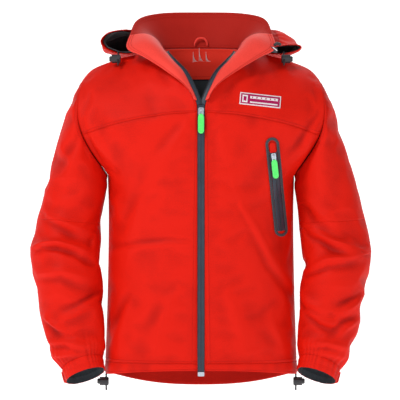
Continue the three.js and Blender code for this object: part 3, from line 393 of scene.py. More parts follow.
class Nodes:
    """A short hand for building a finish's node tree."""

    def __init__(self, name: str) -> None:
        """Starts an empty material with a shader and an output.

        Args:
            name: The material's name.
        """
        self.material = bpy.data.materials.new(name)
        self.material.use_nodes = True
        self.tree = self.material.node_tree
        self.tree.nodes.clear()
        self.out = self.tree.nodes.new("ShaderNodeOutputMaterial")
        self.shader = self.tree.nodes.new("ShaderNodeBsdfPrincipled")
        self.link(self.shader.outputs["BSDF"], self.out.inputs["Surface"])

    def link(self, a: bpy.types.NodeSocket, b: bpy.types.NodeSocket) -> None:
        """Links two sockets."""
        self.tree.links.new(a, b)

    def add(self, kind: str, **settings: object) -> bpy.types.Node:
        """Adds a node and sets its properties.

        Args:
            kind: The node's type.
            settings: Properties and their values.

        Returns:
            The new node.
        """
        node = self.tree.nodes.new(kind)
        for key, value in settings.items():
            setattr(node, key, value)
        return node

    def coordinates(self, uv: bool) -> bpy.types.NodeSocket:
        """Returns the piece's own UV map or its object coordinates."""
        if uv:
            return self.add("ShaderNodeUVMap", uv_map="cloth").outputs["UV"]
        return self.add("ShaderNodeTexCoord").outputs["Object"]

    def noise(self, vector: bpy.types.NodeSocket, scale: float, detail: float = 3.0) -> bpy.types.NodeSocket:
        """Adds a noise texture.

        Args:
            vector: Where it is read.
            scale: Its scale.
            detail: Its layers of detail.

        Returns:
            The noise's value.
        """
        node = self.add("ShaderNodeTexNoise")
        node.inputs["Scale"].default_value = scale
        node.inputs["Detail"].default_value = detail
        self.link(vector, node.inputs["Vector"])
        return node.outputs["Fac"]

    def wave(self, vector: bpy.types.NodeSocket, period: float, direction: str) -> bpy.types.NodeSocket:
        """Adds straight bands.

        Args:
            vector: Where they are read.
            period: Metres from band to band.
            direction: Axis across the bands.

        Returns:
            The bands' value.
        """
        node = self.add("ShaderNodeTexWave", bands_direction=direction, wave_profile="SIN")
        node.inputs["Scale"].default_value = 2 * math.pi / (20 * period)
        self.link(vector, node.inputs["Vector"])
        return node.outputs["Fac"]

    def math(self, operation: str, a: Value, b: Value) -> bpy.types.NodeSocket:
        """Adds a sum, product or other operation.

        Args:
            operation: Its name.
            a: The first value.
            b: The second value.

        Returns:
            The result.
        """
        node = self.add("ShaderNodeMath", operation=operation)
        for socket, value in zip(node.inputs, (a, b)):
            if isinstance(value, (int, float)):
                socket.default_value = value
            else:
                self.link(value, socket)
        return node.outputs["Value"]

    def ramp(self, value: bpy.types.NodeSocket, stops: Sequence[tuple[float, Color]]) -> bpy.types.NodeSocket:
        """Adds a run of colours.

        Args:
            value: The value that picks the colour.
            stops: Places and colours.

        Returns:
            The colour.
        """
        node = self.add("ShaderNodeValToRGB")
        elements = node.color_ramp.elements
        while len(elements) < len(stops):
            elements.new(0.5)
        for element, (place, color) in zip(elements, stops):
            element.position = place
            element.color = (*color, 1.0)
        self.link(value, node.inputs["Fac"])
        return node.outputs["Color"]

    def bump(self, height: bpy.types.NodeSocket, distance: float, strength: float = 1.0) -> None:
        """Gives the shader a bumped normal.

        Args:
            height: The height at each place.
            distance: Metres that a height of 1 stands for.
            strength: How much the bump tells.
        """
        node = self.add("ShaderNodeBump")
        node.inputs["Strength"].default_value = strength
        node.inputs["Distance"].default_value = distance
        self.link(height, node.inputs["Height"])
        self.link(node.outputs["Normal"], self.shader.inputs["Normal"])


@dataclass(frozen=True)
class WovenFinish:
    """Woven cloth: a crossing of threads, soft colour drift, painted shade in folds, painted highlight on fold ridges
    and a sheen.
    """

    name: str
    color: Color
    deep: Color
    pitch: float = 0.0009
    roughness: float = 0.6
    sheen: float = 0.25
    thread_height: float = 0.00007
    uv: bool = True

    def build(self) -> bpy.types.Material:
        """Builds the node tree.

        Returns:
            The material.
        """
        n = Nodes(self.name)
        place = n.coordinates(self.uv)
        warp = n.wave(place, self.pitch, "X")
        weft = n.wave(place, self.pitch, "Y")
        threads = n.math("MAXIMUM", warp, weft)
        drift = n.noise(place, 14.0, 4.0)
        grain = n.noise(place, 420.0, 2.0)
        # The shade attribute paints shade into fold hollows and onto the cloth's back face, and paints highlight on
        # fold ridges; drift and grain are the cloth's own tone.
        shade = n.add("ShaderNodeAttribute", attribute_name="shade").outputs["Fac"]
        tone = n.math("ADD", n.math("MULTIPLY", drift, 0.3), n.math("MULTIPLY", shade, 0.3))
        tone = n.math("ADD", tone, n.math("MULTIPLY", grain, 0.25))
        tone = n.math("ADD", tone, 0.3)
        n.link(n.ramp(tone, [(0.15, self.deep), (0.6, self.color)]), n.shader.inputs["Base Color"])
        rough = n.math("ADD", n.math("MULTIPLY", grain, 0.16), self.roughness - 0.08)
        n.link(rough, n.shader.inputs["Roughness"])
        height = n.math("ADD", n.math("MULTIPLY", threads, 0.6), n.math("MULTIPLY", grain, 0.8))
        n.bump(height, self.thread_height, 0.7)
        n.shader.inputs["Sheen Weight"].default_value = self.sheen
        n.shader.inputs["Sheen Roughness"].default_value = 0.4
        n.shader.inputs["Specular IOR Level"].default_value = 0.12
        return n.material


@dataclass(frozen=True)
class MeshLiningFinish:
    """Dark knitted lining with rows of small round holes."""

    name: str
    color: Color
    deep: Color
    pitch: float = 0.0026

    def build(self) -> bpy.types.Material:
        """Builds the node tree.

        Returns:
            The material.
        """
        n = Nodes(self.name)
        place = n.coordinates(True)
        cells = n.add("ShaderNodeTexVoronoi", feature="F1")
        cells.inputs["Scale"].default_value = 1 / self.pitch
        cells.inputs["Randomness"].default_value = 0.12
        n.link(place, cells.inputs["Vector"])
        holes = cells.outputs["Distance"]
        n.link(n.ramp(holes, [(0.18, self.deep), (0.42, self.color)]), n.shader.inputs["Base Color"])
        fuzz = n.noise(place, 700.0, 2.0)
        n.link(n.math("ADD", n.math("MULTIPLY", fuzz, 0.2), 0.7), n.shader.inputs["Roughness"])
        n.bump(n.math("ADD", holes, n.math("MULTIPLY", fuzz, 0.2)), 0.0004, 0.8)
        n.shader.inputs["Sheen Weight"].default_value = 0.2
        return n.material


@dataclass(frozen=True)
class MouldedFinish:
    """Moulded plastic or rubber with a fine spark-eroded grain and paler worn edges."""

    name: str
    color: Color
    worn: Color
    roughness: float = 0.42
    grain: float = 900.0
    depth: float = 0.00003
    coat: float = 0.0

    def build(self) -> bpy.types.Material:
        """Builds the node tree.

        Returns:
            The material.
        """
        n = Nodes(self.name)
        place = n.coordinates(False)
        fine = n.noise(place, self.grain, 2.0)
        broad = n.noise(place, 60.0, 3.0)
        edge = n.add("ShaderNodeNewGeometry").outputs["Pointiness"]
        tone = n.math("ADD", n.math("MULTIPLY", broad, 0.12), edge)
        n.link(n.ramp(tone, [(0.5, self.color), (0.66, self.worn)]), n.shader.inputs["Base Color"])
        n.link(n.math("ADD", n.math("MULTIPLY", fine, 0.18), self.roughness - 0.09), n.shader.inputs["Roughness"])
        n.bump(fine, self.depth, 0.8)
        n.shader.inputs["Coat Weight"].default_value = self.coat
        return n.material


@dataclass(frozen=True)
class MetalFinish:
    """Satin coated metal with fine rubbed lines."""

    name: str
    color: Color
    worn: Color
    roughness: float = 0.32

    def build(self) -> bpy.types.Material:
        """Builds the node tree.

        Returns:
            The material.
        """
        n = Nodes(self.name)
        place = n.coordinates(False)
        lines = n.add("ShaderNodeMapping")
        lines.inputs["Scale"].default_value = (60.0, 60.0, 1400.0)
        n.link(place, lines.inputs["Vector"])
        rubbed = n.noise(lines.outputs["Vector"], 1.0, 3.0)
        edge = n.add("ShaderNodeNewGeometry").outputs["Pointiness"]
        n.link(n.ramp(edge, [(0.5, self.color), (0.62, self.worn)]), n.shader.inputs["Base Color"])
        n.link(n.math("ADD", n.math("MULTIPLY", rubbed, 0.25), self.roughness - 0.1), n.shader.inputs["Roughness"])
        n.bump(rubbed, 0.00002, 0.6)
        n.shader.inputs["Metallic"].default_value = 0.85
        return n.material


@dataclass(frozen=True)
class BraidFinish:
    """Braided elastic cord: slanting crossed strands."""

    name: str
    color: Color
    fleck: Color
    pitch: float = 0.0012

    def build(self) -> bpy.types.Material:
        """Builds the node tree.

        Returns:
            The material.
        """
        n = Nodes(self.name)
        place = n.coordinates(False)
        turned = n.add("ShaderNodeMapping")
        turned.inputs["Rotation"].default_value = (0.6, 0.5, 0.7)
        n.link(place, turned.inputs["Vector"])
        one = n.wave(turned.outputs["Vector"], self.pitch, "X")
        other = n.wave(turned.outputs["Vector"], self.pitch, "Z")
        strands = n.math("MULTIPLY", one, other)
        n.link(n.ramp(strands, [(0.25, self.color), (0.8, self.fleck)]), n.shader.inputs["Base Color"])
        n.bump(strands, 0.0003, 0.8)
        n.shader.inputs["Roughness"].default_value = 0.65
        return n.material


class Finish(Enum):
    """The jacket's finishes, each made once."""

    SHELL = WovenFinish("shell_cloth", (0.72, 0.0095, 0.0020), (0.25, 0.002, 0.001), sheen=0.0)
    FACING = WovenFinish("facing_cloth", (0.93, 0.064, 0.046), (0.50, 0.016, 0.010), roughness=0.66, sheen=0.15)
    # A brightened copy of the facing cloth, raised above the cloth's own red: painted light inside the yoke, which lies
    # in the collar's shadow.
    INNER = WovenFinish("inner_facing_painted_light_cloth", (0.98, 0.050, 0.026), (0.80, 0.024, 0.014), roughness=0.7, sheen=0.05)
    # A darker copy of the facing cloth: painted shade on the collar stand inside the collar.
    STAND_PAINTED_SHADE = WovenFinish("collar_stand_painted_shade_cloth", (0.47, 0.016, 0.009), (0.24, 0.006, 0.003), roughness=0.7, sheen=0.05)
    THREAD = WovenFinish("red_thread", (0.50, 0.008, 0.004), (0.32, 0.004, 0.002), pitch=0.0004, sheen=0.05, uv=False)
    LINING = MeshLiningFinish("mesh_lining", (0.018, 0.027, 0.036), (0.004, 0.006, 0.009))
    TAPE = MouldedFinish("coated_tape", (0.010, 0.019, 0.034), (0.035, 0.055, 0.085), roughness=0.45)
    EDGE = MouldedFinish("tape_edge", (0.006, 0.008, 0.013), (0.02, 0.025, 0.035), roughness=0.55)
    LAMINATE = MouldedFinish("pocket_laminate", (0.060, 0.062, 0.075), (0.12, 0.12, 0.14), roughness=0.5)
    GREEN = MouldedFinish("green_pull", (0.035, 0.78, 0.085), (0.16, 0.95, 0.24), roughness=0.38, coat=0.15)
    BLACK = MouldedFinish("black_lock", (0.007, 0.007, 0.009), (0.03, 0.03, 0.035), roughness=0.36)
    STEEL = MetalFinish("satin_metal", (0.30, 0.36, 0.44), (0.62, 0.68, 0.75))
    CORD = BraidFinish("braided_cord", (0.010, 0.010, 0.012), (0.06, 0.06, 0.07))
    PALE = WovenFinish("pale_patch_thread", (0.86, 0.80, 0.82), (0.62, 0.52, 0.56), pitch=0.0006, sheen=0.1)
    MAGENTA = WovenFinish("magenta_patch_thread", (0.42, 0.012, 0.10), (0.16, 0.006, 0.05), pitch=0.0006, sheen=0.1)

    @property
    def slot(self) -> str:
        """Returns the record's slot that this finish belongs to."""
        return SLOTS.get(self.name, "facing_fabric")

    def material(self) -> bpy.types.Material:
        """Returns the finish's material, made on first use."""
        made = bpy.data.materials.get(self.value.name)
        return made if made else self.value.build()


SLOTS = {
    "SHELL": "shell_fabric",
    "THREAD": "shell_fabric",
    "LINING": "lining_mesh",
    "TAPE": "zip_tape",
    "EDGE": "zip_tape",
    "LAMINATE": "pocket_laminate",
    "GREEN": "pull_plastic",
    "BLACK": "lock_plastic",
    "STEEL": "zip_metal",
    "CORD": "cord",
    "PALE": "badge",
    "MAGENTA": "badge",
}


def dress(item: bpy.types.Object, finish: Finish) -> bpy.types.Object:
    """Gives an object one finish."""
    if item.data.materials:
        item.data.materials[0] = finish.material()
    else:
        item.data.materials.append(finish.material())
    return item


# ---- The pattern --------------------------------------------------------------------------------


@dataclass(frozen=True)
class Pattern:
    """The seams that every panel is cut to."""

    edge_x: float = 8.0
    chest: float = 142.0
    blades: float = 150.0
    waist_back: float = 134.0
    hem_back: float = 140.0
    half_waist: float = 203.0
    half_hem: float = 210.0
    roundness: float = 2.5
    waist_z: float = -300.0
    hem_seam_z: float = -622.0
    hem_front_z: float = -638.0
    hem_side_z: float = -651.0
    hem_back_z: float = -686.0
    yoke_front_z: float = -81.0
    yoke_back_z: float = -112.0
    neck_half: float = 84.0
    neck_side_z: float = 60.0
    neck_back: float = 84.0
    neck_back_z: float = 68.0
    tip: Place = (262.0, -8.0)
    underarm: Place = (205.0, -215.0)
    armhole_depth: float = 80.0
    armhole_bulge: float = 31.0
    yoke_angle: float = 2 * math.pi * 5 / 18
    side_share: float = 0.6
    shoulder_share: float = 0.36

    def side_seam(self, t: np.ndarray) -> np.ndarray:
        """Follows the side seam, from the hem seam to the underarm.

        Args:
            t: Places along it, 0 to 1.

        Returns:
            One point per place.
        """
        low = (mix(self.half_hem, self.half_waist, 0.7), 0.0, mix(self.hem_seam_z, self.waist_z, 0.5))
        points = ((self.half_hem, 0.0, self.hem_seam_z), low, (self.half_waist, 0.0, self.waist_z))
        return Spline((*points, (self.underarm[0], 0.0, self.underarm[1]))).at(t)

    def armhole(self, angle: np.ndarray, side: int) -> np.ndarray:
        """Follows the armhole: 0 is the shoulder tip, pi the underarm.

        Args:
            angle: Places round it.
            side: 1 for the front, -1 for the back.

        Returns:
            One point per place.
        """
        fall = (1 - np.cos(angle)) / 2
        x = mix(self.tip[0], self.underarm[0], fall) + self.armhole_bulge * np.sin(math.pi * fall)
        y = -side * self.armhole_depth * np.sin(angle)
        return np.stack([x, y, mix(self.tip[1], self.underarm[1], fall)], axis=-1)

    def upper_armhole(self, t: np.ndarray, side: int) -> np.ndarray:
        """Returns points up the armhole, from the yoke seam to the shoulder tip."""
        return self.armhole(mix(self.yoke_angle, 0, t), side)

    def side_run(self, side: int) -> Seam:
        """Returns the seam up the side and round the lower armhole to the yoke."""

        def run(t: np.ndarray) -> np.ndarray:
            """Follows the seam.

            Args:
                t: Places along it, 0 to 1.

            Returns:
                One point per place.
            """
            low = self.side_seam(np.clip(t / self.side_share, 0, 1))
            share = np.clip((t - self.side_share) / (1 - self.side_share), 0, 1)
            high = self.armhole(mix(math.pi, self.yoke_angle, share), side)
            return np.where((t < self.side_share)[:, None], low, high)

        return run

    def hem_row(self, s: np.ndarray, depth: float, z: np.ndarray | float, start: float) -> np.ndarray:
        """Lays out the section at the hem, from the centre to the side.

        Args:
            s: Places along it, 0 to 1.
            depth: How far it is from the middle, to the front or back.
            z: Its height.
            start: Where it starts, across.

        Returns:
            One point per place.
        """
        x = start + (self.half_hem - start) * np.sin(s * math.pi / 2) ** 0.8
        y = depth * np.maximum(1 - (x / self.half_hem) ** self.roundness, 0) ** (1 / self.roundness)
        return np.stack([x, y, np.broadcast_to(z, x.shape)], axis=-1)

    def hem_z(self, s: np.ndarray, centre: float) -> np.ndarray:
        """Returns the height of the hem's edge from the centre to the side."""
        return mix(centre, self.hem_side_z, (1 - np.cos(math.pi * s)) / 2)

    def front_hem(self, s: np.ndarray) -> np.ndarray:
        """Returns the front hem seam."""
        return self.hem_row(s, -self.chest, self.hem_seam_z, self.edge_x)

    def front_hem_edge(self, s: np.ndarray) -> np.ndarray:
        """Returns the front hem's free edge."""
        return self.hem_row(s, -self.chest, self.hem_z(s, self.hem_front_z), self.edge_x)

    def back_hem(self, s: np.ndarray) -> np.ndarray:
        """Returns the back hem seam, side to side."""
        row = partial(self.hem_row, depth=self.hem_back, z=self.hem_seam_z, start=0.0)
        return self._across(s, row)

    def back_hem_edge(self, s: np.ndarray) -> np.ndarray:
        """Returns the back hem's free edge, side to side."""
        z = self.hem_z(np.abs(2 * s - 1), self.hem_back_z)
        return self._across(s, partial(self.hem_row, depth=self.hem_back, z=z, start=0.0))

    @staticmethod
    def _across(s: np.ndarray, half: Seam) -> np.ndarray:
        """Returns a half seam continued to the other side."""
        p = half(np.abs(2 * s - 1))
        return p * np.stack([np.sign(2 * s - 1), np.ones_like(s), np.ones_like(s)], axis=-1)

    def shoulder(self) -> Spline:
        """Lays out the shoulder line, from the neck to the tip.

        Returns:
            The curve.
        """
        n, t, nz, tz = self.neck_half, self.tip[0], self.neck_side_z, self.tip[1]
        inner = [(mix(n, t, a), y, mix(nz, tz, b)) for a, b, y in ((0.4, 0.2, 5), (0.68, 0.42, 3), (0.88, 0.66, 1))]
        return Spline(((n, 5.0, nz), *inner, (t, 0.0, tz)))

    def open_front(self) -> Spline:
        """Lays out the open front's edge, from the yoke seam to the side of the neck.

        Returns:
            The curve.
        """
        c, n, z = self.chest, self.neck_half, self.yoke_front_z
        start = ((self.edge_x, -c, z), (self.edge_x + 2, -c, z + 18), (n * 0.24, 8 - c, -36.0))
        end = ((n * 0.46, 28 - c, 0.0), (n * 0.74, -c * 0.6, 26.0), (n * 0.94, -c * 0.3, 46.0))
        return Spline((*start, *end, (n, 5.0, self.neck_side_z)))

    def front_yoke_seam(self) -> Spline:
        """Lays out the chest seam, from the zip to the armhole.

        Returns:
            The curve.
        """
        end = self.armhole(np.array([self.yoke_angle]), 1)[0]
        c, z = self.chest, self.yoke_front_z
        middle = ((end[0] * 0.33, -c * 0.96, z - 6), (end[0] * 0.7, -c * 0.84, mix(z, end[2], 0.5)))
        return Spline(((self.edge_x, -c, z), *middle, tuple(end)))

    def back_yoke_seam(self) -> Spline:
        """Lays out the back yoke seam, armhole to armhole.

        Returns:
            The curve.
        """
        end = self.armhole(np.array([self.yoke_angle]), -1)[0]
        z = self.yoke_back_z
        half = [(0.0, self.blades, z), (end[0] * 0.4, self.blades * 0.96, z - 2)]
        half += [(end[0] * 0.75, self.blades * 0.8, mix(z, end[2], 0.5)), tuple(end)]
        return Spline(tuple((-x, y, z) for x, y, z in reversed(half[1:])) + tuple(half))

    def back_neck(self) -> Spline:
        """Lays out the neck seam round the back, from side to side.

        Returns:
            The curve.
        """
        n, d, z = self.neck_half, self.neck_back, self.neck_back_z
        side = (n * 0.94, d * 0.48, mix(z, self.neck_side_z, 0.6))
        half = [(0.0, d, z), (n * 0.55, d * 0.86, z - 1), side, (n, 5.0, self.neck_side_z)]
        return Spline(tuple((-x, y, z) for x, y, z in reversed(half[1:])) + tuple(half))

    def back_top(self, s: np.ndarray) -> np.ndarray:
        """Follows the back yoke's top edge: shoulder line, neck seam, shoulder line.

        Args:
            s: Places along it, 0 to 1.

        Returns:
            One point per place.
        """
        half, sign = np.abs(2 * s - 1), np.where(s < 0.5, -1.0, 1.0)
        on_neck = 1 - 2 * self.shoulder_share
        neck = self.back_neck().at(0.5 + sign * np.minimum(half / on_neck, 1) / 2)
        line = self.shoulder().at(np.clip((half - on_neck) / (1 - on_neck), 0, 1))
        line = line * np.stack([sign, np.ones_like(s), np.ones_like(s)], axis=-1)
        return np.where((half <= on_neck)[:, None], neck, line)

    def front(self, columns: int, body_rows: int, yoke_rows: int) -> Grid:
        """Fills one front, hem seam to shoulder line, on the left side.

        Args:
            columns: Cells across.
            body_rows: Cells up to the yoke seam.
            yoke_rows: Cells above it.

        Returns:
            The grid.
        """
        x, y = self.edge_x, -self.chest
        edge = self._straight((x, y, self.hem_seam_z), (x, y, self.yoke_front_z))
        body = patch(self.front_hem, self.front_yoke_seam().at, edge, self.side_run(1), columns, body_rows)
        arm = partial(self.upper_armhole, side=1)
        yoke = patch(self.front_yoke_seam().at, self.shoulder().at, self.open_front().at, arm, columns, yoke_rows)
        return np.vstack([body, yoke[1:]])

    def back(self, columns: int, body_rows: int, yoke_rows: int) -> Grid:
        """Fills the whole back, hem seam to neck.

        Args:
            columns: Cells across.
            body_rows: Cells up to the yoke seam.
            yoke_rows: Cells above it.

        Returns:
            The grid.
        """
        run = self.side_run(-1)
        seam = self.back_yoke_seam().at
        body = patch(self.back_hem, seam, flipped(run), run, columns, body_rows, 4)
        dip = mix(self.hem_back, self.blades, 0.5) - self.waist_back
        across = np.sin(math.pi * np.linspace(0, 1, columns + 1))
        up = np.sin(math.pi * np.linspace(0, 1, body_rows + 1))
        body[..., 1] -= dip * up[:, None] * across[None]
        arm = partial(self.upper_armhole, side=-1)
        yoke = patch(seam, self.back_top, flipped(arm), arm, columns, yoke_rows, 4)
        return np.vstack([body, yoke[1:]])

    @staticmethod
    def _straight(a: tuple[float, ...], b: tuple[float, ...]) -> Seam:
        """Returns a straight seam between two points."""

        def run(t: np.ndarray) -> np.ndarray:
            """Returns points along the seam."""
            return np.array(a) + (np.array(b) - np.array(a)) * np.asarray(t)[:, None]

        return run


@dataclass(frozen=True)
class SleevePattern:
    """The sleeve's rails, depth and forward bend."""

    body: Pattern = Pattern()
    elbow: Place = (371.0, -392.0)
    elbow_inner: Place = (224.0, -392.0)
    elbow_depth: float = 78.0
    cuff_outer: Place = (303.0, -640.0)
    cuff_inner: Place = (214.0, -612.0)
    cuff_depth: float = 43.0
    cuff_height: float = 28.0
    forward: float = 62.0
    tilt: float = 0.38
    elbow_at: float = 5 / 8

    def _rail(self, spans: Sequence[tuple[tuple[float, float], tuple[float, float], float, float]]) -> Spline:
        """Returns a rail from shares of the way between its corners."""
        return Spline(tuple((mix(a[0], b[0], p), 0.0, mix(a[1], b[1], q)) for a, b, p, q in spans))

    def frames(self, v: np.ndarray) -> tuple[np.ndarray, np.ndarray, np.ndarray, np.ndarray]:
        """Returns centre, half width, fore arm and bulge at each station.

        Args:
            v: Stations from the armhole (0) to the cuff seam (1).

        Returns:
            The four arrays, one row per station.
        """
        tip, under, elbow, cuff = self.body.tip, self.body.underarm, self.elbow, self.cuff_outer
        shares = ((0, 0), (0.28, 0.18), (0.55, 0.43), (0.77, 0.66), (0.94, 0.87))
        outer = [(tip, elbow, p, q) for p, q in shares]
        outer += [(elbow, cuff, p, q) for p, q in ((0, 0), (0.22, 0.32), (0.5, 0.7), (1, 1))]
        inside, cuff_in = self.elbow_inner, self.cuff_inner
        shares = ((0, 0), (0.2, 0.1), (0.42, 0.23), (0.68, 0.42), (0.9, 0.72))
        inner = [(under, inside, p, q) for p, q in shares] + [(inside, cuff_in, 0, 6 / 220)]
        inner += [(inside, cuff_in, p, q) for p, q in ((0.5, 0.32), (0.95, 0.7), (1, 1))]
        a, b = self._rail(outer).at(v), self._rail(inner).at(v)
        centre = (a + b) / 2
        centre[:, 1] = -self.forward * smooth(v, self.elbow_at * 0.6, 1)
        above = mix(self.body.armhole_depth, self.elbow_depth, smooth(v, 0, self.elbow_at))
        below = self.elbow_depth + (self.cuff_depth - self.elbow_depth) * smooth(v, self.elbow_at, 1)
        depth = np.where(v < self.elbow_at, above, below)
        lean = self.tilt * smooth(v, self.elbow_at * 0.7, 1)
        fore = np.stack([np.zeros_like(v), -np.cos(lean), np.sin(lean)], axis=-1) * depth[:, None]
        return centre, (a - b) / 2, fore, self.body.armhole_bulge * (1 - smooth(v, 0, 0.3))

    def rings(self, v: np.ndarray, sides: int) -> Grid:
        """Lays rings of points round the sleeve, from the outside round the front.

        Args:
            v: Stations from the armhole (0) to the cuff seam (1).
            sides: Points in a ring.

        Returns:
            One ring per station.
        """
        centre, half, fore, bulge = self.frames(v)
        angle = np.arange(sides) * 2 * math.pi / sides
        arm = half[:, None] * np.cos(angle)[None, :, None] + fore[:, None] * np.sin(angle)[None, :, None]
        arm[..., 0] += bulge[:, None] * np.sin(math.pi * (1 - np.cos(angle)) / 2)[None]
        return centre[:, None] + arm

    def cuff_axis(self) -> np.ndarray:
        """Returns the forearm's direction at the cuff."""
        centre = self.frames(np.array([0.97, 1.0]))[0]
        return unit(centre[1] - centre[0])


# ---- Folds --------------------------------------------------------------------------------------


@dataclass(frozen=True)
class Fold:
    """One crease: a ridge along a run of places, with a hollow beside it."""

    run: tuple[tuple[float, float], ...]
    height: float = 6.0
    width: float = 10.0
    hollow: float = 0.6

    def relief(self, x: np.ndarray, z: np.ndarray) -> np.ndarray:
        """Returns how far the crease lifts the cloth at each place.

        Args:
            x: Places across.
            z: Heights.

        Returns:
            The lift in millimetres.
        """
        points = np.array(self.run, float)
        lengths = np.linalg.norm(np.diff(points, axis=0), axis=1)
        total, done = lengths.sum(), 0.0
        best = np.full(x.shape, 1e9)
        signed, share = np.zeros(x.shape), np.zeros(x.shape)
        for a, b, length in zip(points, points[1:], lengths):
            d = (b - a) / length
            s = np.clip((x - a[0]) * d[0] + (z - a[1]) * d[1], 0, length)
            gap = np.hypot(x - a[0] - s * d[0], z - a[1] - s * d[1])
            side = (x - a[0]) * d[1] - (z - a[1]) * d[0]
            nearer = gap < best
            best = np.where(nearer, gap, best)
            signed = np.where(nearer, gap * np.sign(side), signed)
            share = np.where(nearer, (done + s) / total, share)
            done += length
        taper = np.sin(math.pi * np.clip(share * 0.86 + 0.07, 0, 1)) ** 0.8
        width = self.width * (0.7 + 0.6 * share)
        ridge = np.exp(-((np.abs(signed) / width) ** 1.35))
        hollow = np.exp(-(((signed - 1.5 * width) / (0.9 * width)) ** 2))
        return self.height * taper * (ridge - self.hollow * hollow)


def crumple(grid: Grid, scale: float, height: float, seed: float, sharp: bool = True) -> np.ndarray:
    """Returns an uneven relief of crossing ridges.

    Args:
        grid: The points.
        scale: Size of a ridge in millimetres.
        height: Height of the ridges in millimetres.
        seed: A number that sets the pattern.
        sharp: Whether ridges are creased instead of rounded.

    Returns:
        The relief at each point.
    """
    flat = (grid / scale).reshape(-1, 3) + seed
    values = np.array([noise.noise(Vector(p)) for p in flat]).reshape(grid.shape[:2])
    return height * ((0.5 - np.abs(values) * 2.2) if sharp else values)


@dataclass
class Settling:
    """Cloth simulation of panels that are a little larger than the shape they hang on."""

    growth: float = 0.04
    pressure: float = 0.6
    frames: int = 22
    outward: float = 9.0
    inward: float = 3.5
    sideways: float = 5.0
    share: float = 0.6
    mass: float = 0.12
    stretch: float = 15.0
    shear: float = 10.0
    bending: float = 2.5
    jobs: dict[str, tuple[bpy.types.Object, Grid, bool]] = field(default_factory=dict)

    def add(self, key: str, grid: Grid, pins: np.ndarray, closed: bool = False, growth: Optional[float] = None) -> None:
        """Adds one panel to the simulation.

        Args:
            key: The panel's name.
            grid: Its points.
            pins: How firmly each point is held, 0 to 1.
            closed: Whether the columns join up.
            growth: How much larger the cloth is, as a share.
        """
        rows, columns = grid.shape[:2]
        item = new_object("settling_" + key, grid.reshape(-1, 3), quads(rows, columns, closed).tolist())
        group = item.vertex_groups.new(name="pins")
        for k, weight in enumerate(pins.ravel()):
            if weight > 0:
                group.add([k], float(weight), "REPLACE")
        cloth = item.modifiers.new("cloth", "CLOTH")
        s = cloth.settings
        s.quality, s.mass, s.air_damping = 5, self.mass, 2.0
        s.tension_stiffness = s.compression_stiffness = self.stretch
        s.shear_stiffness, s.bending_stiffness = self.shear, self.bending
        s.vertex_group_mass = "pins"
        s.pin_stiffness = 5
        s.shrink_min = -(self.growth if growth is None else growth)
        s.use_pressure, s.uniform_pressure_force = True, self.pressure
        s.effector_weights.gravity = 0
        cloth.collision_settings.use_collision = False
        cloth.point_cache.frame_start, cloth.point_cache.frame_end = 1, self.frames
        self.jobs[key] = (item, grid, closed)

    def run(self) -> dict[str, Grid]:
        """Steps the cloth.

        Returns:
            Each panel's settled points.
        """
        scene = bpy.context.scene
        for frame in range(1, self.frames + 1):
            scene.frame_set(frame)
        settled = {}
        graph = bpy.context.evaluated_depsgraph_get()
        for key, (item, grid, closed) in self.jobs.items():
            settled[key] = self._read(item, grid, closed, graph)
            bpy.data.objects.remove(item)
        scene.frame_set(1)
        return settled

    def _read(self, item: bpy.types.Object, grid: Grid, closed: bool, graph: bpy.types.Depsgraph) -> Grid:
        """Reads one panel and caps its moves.

        Args:
            item: The simulated object.
            grid: Its points at the start.
            closed: Whether the columns join up.
            graph: The evaluated scene.

        Returns:
            The panel's points.
        """
        mesh = item.evaluated_get(graph).to_mesh()
        points = np.empty(len(mesh.vertices) * 3)
        mesh.vertices.foreach_get("co", points)
        move = (points.reshape(grid.shape) / MM - grid) * self.share
        normals = grid_normals(grid, closed)
        out = np.clip((move * normals).sum(axis=-1), -self.inward, self.outward)
        along = move - (move * normals).sum(axis=-1, keepdims=True) * normals
        size = np.linalg.norm(along, axis=-1, keepdims=True)
        along = along * np.minimum(1, self.sideways / np.maximum(size, 1e-6))
        return grid + normals * out[..., None] + along


def held_edges(rows: int, columns: int, reach: int = 3) -> np.ndarray:
    """Holds a panel's borders and eases off over a few rows.

    Args:
        rows: Rows of points.
        columns: Columns of points.
        reach: Rows and columns that are held, counted from each border.

    Returns:
        One pin weight per point.
    """
    pins = np.zeros((rows, columns))
    for k in range(reach):
        fade = 1 - k / reach
        for border in (np.s_[k, :], np.s_[-1 - k, :], np.s_[:, k], np.s_[:, -1 - k]):
            pins[border] = np.maximum(pins[border], fade)
    return pins


def painted_fold_shade(grid: Grid, before: Grid, reach: int = 7) -> np.ndarray:
    """Returns -1 to 1 for painted shade: hollows below and ridges above the cloth just around them, painted darker and
    lighter.

    Args:
        grid: The settled points.
        before: The same points before any fold was laid in.
        reach: Cells on each side that make up a point's surroundings.

    Returns:
        One value per point.
    """
    lift = ((grid - before) * grid_normals(before)).sum(axis=-1)
    around = lift
    for axis in (0, 1):
        span = [np.roll(around, k, axis=axis) for k in range(-reach, reach + 1)]
        around = np.mean(span, axis=0)
    return np.clip((lift - around) / 6.5, -1, 1)


# ---- Stitches and teeth -------------------------------------------------------------------------


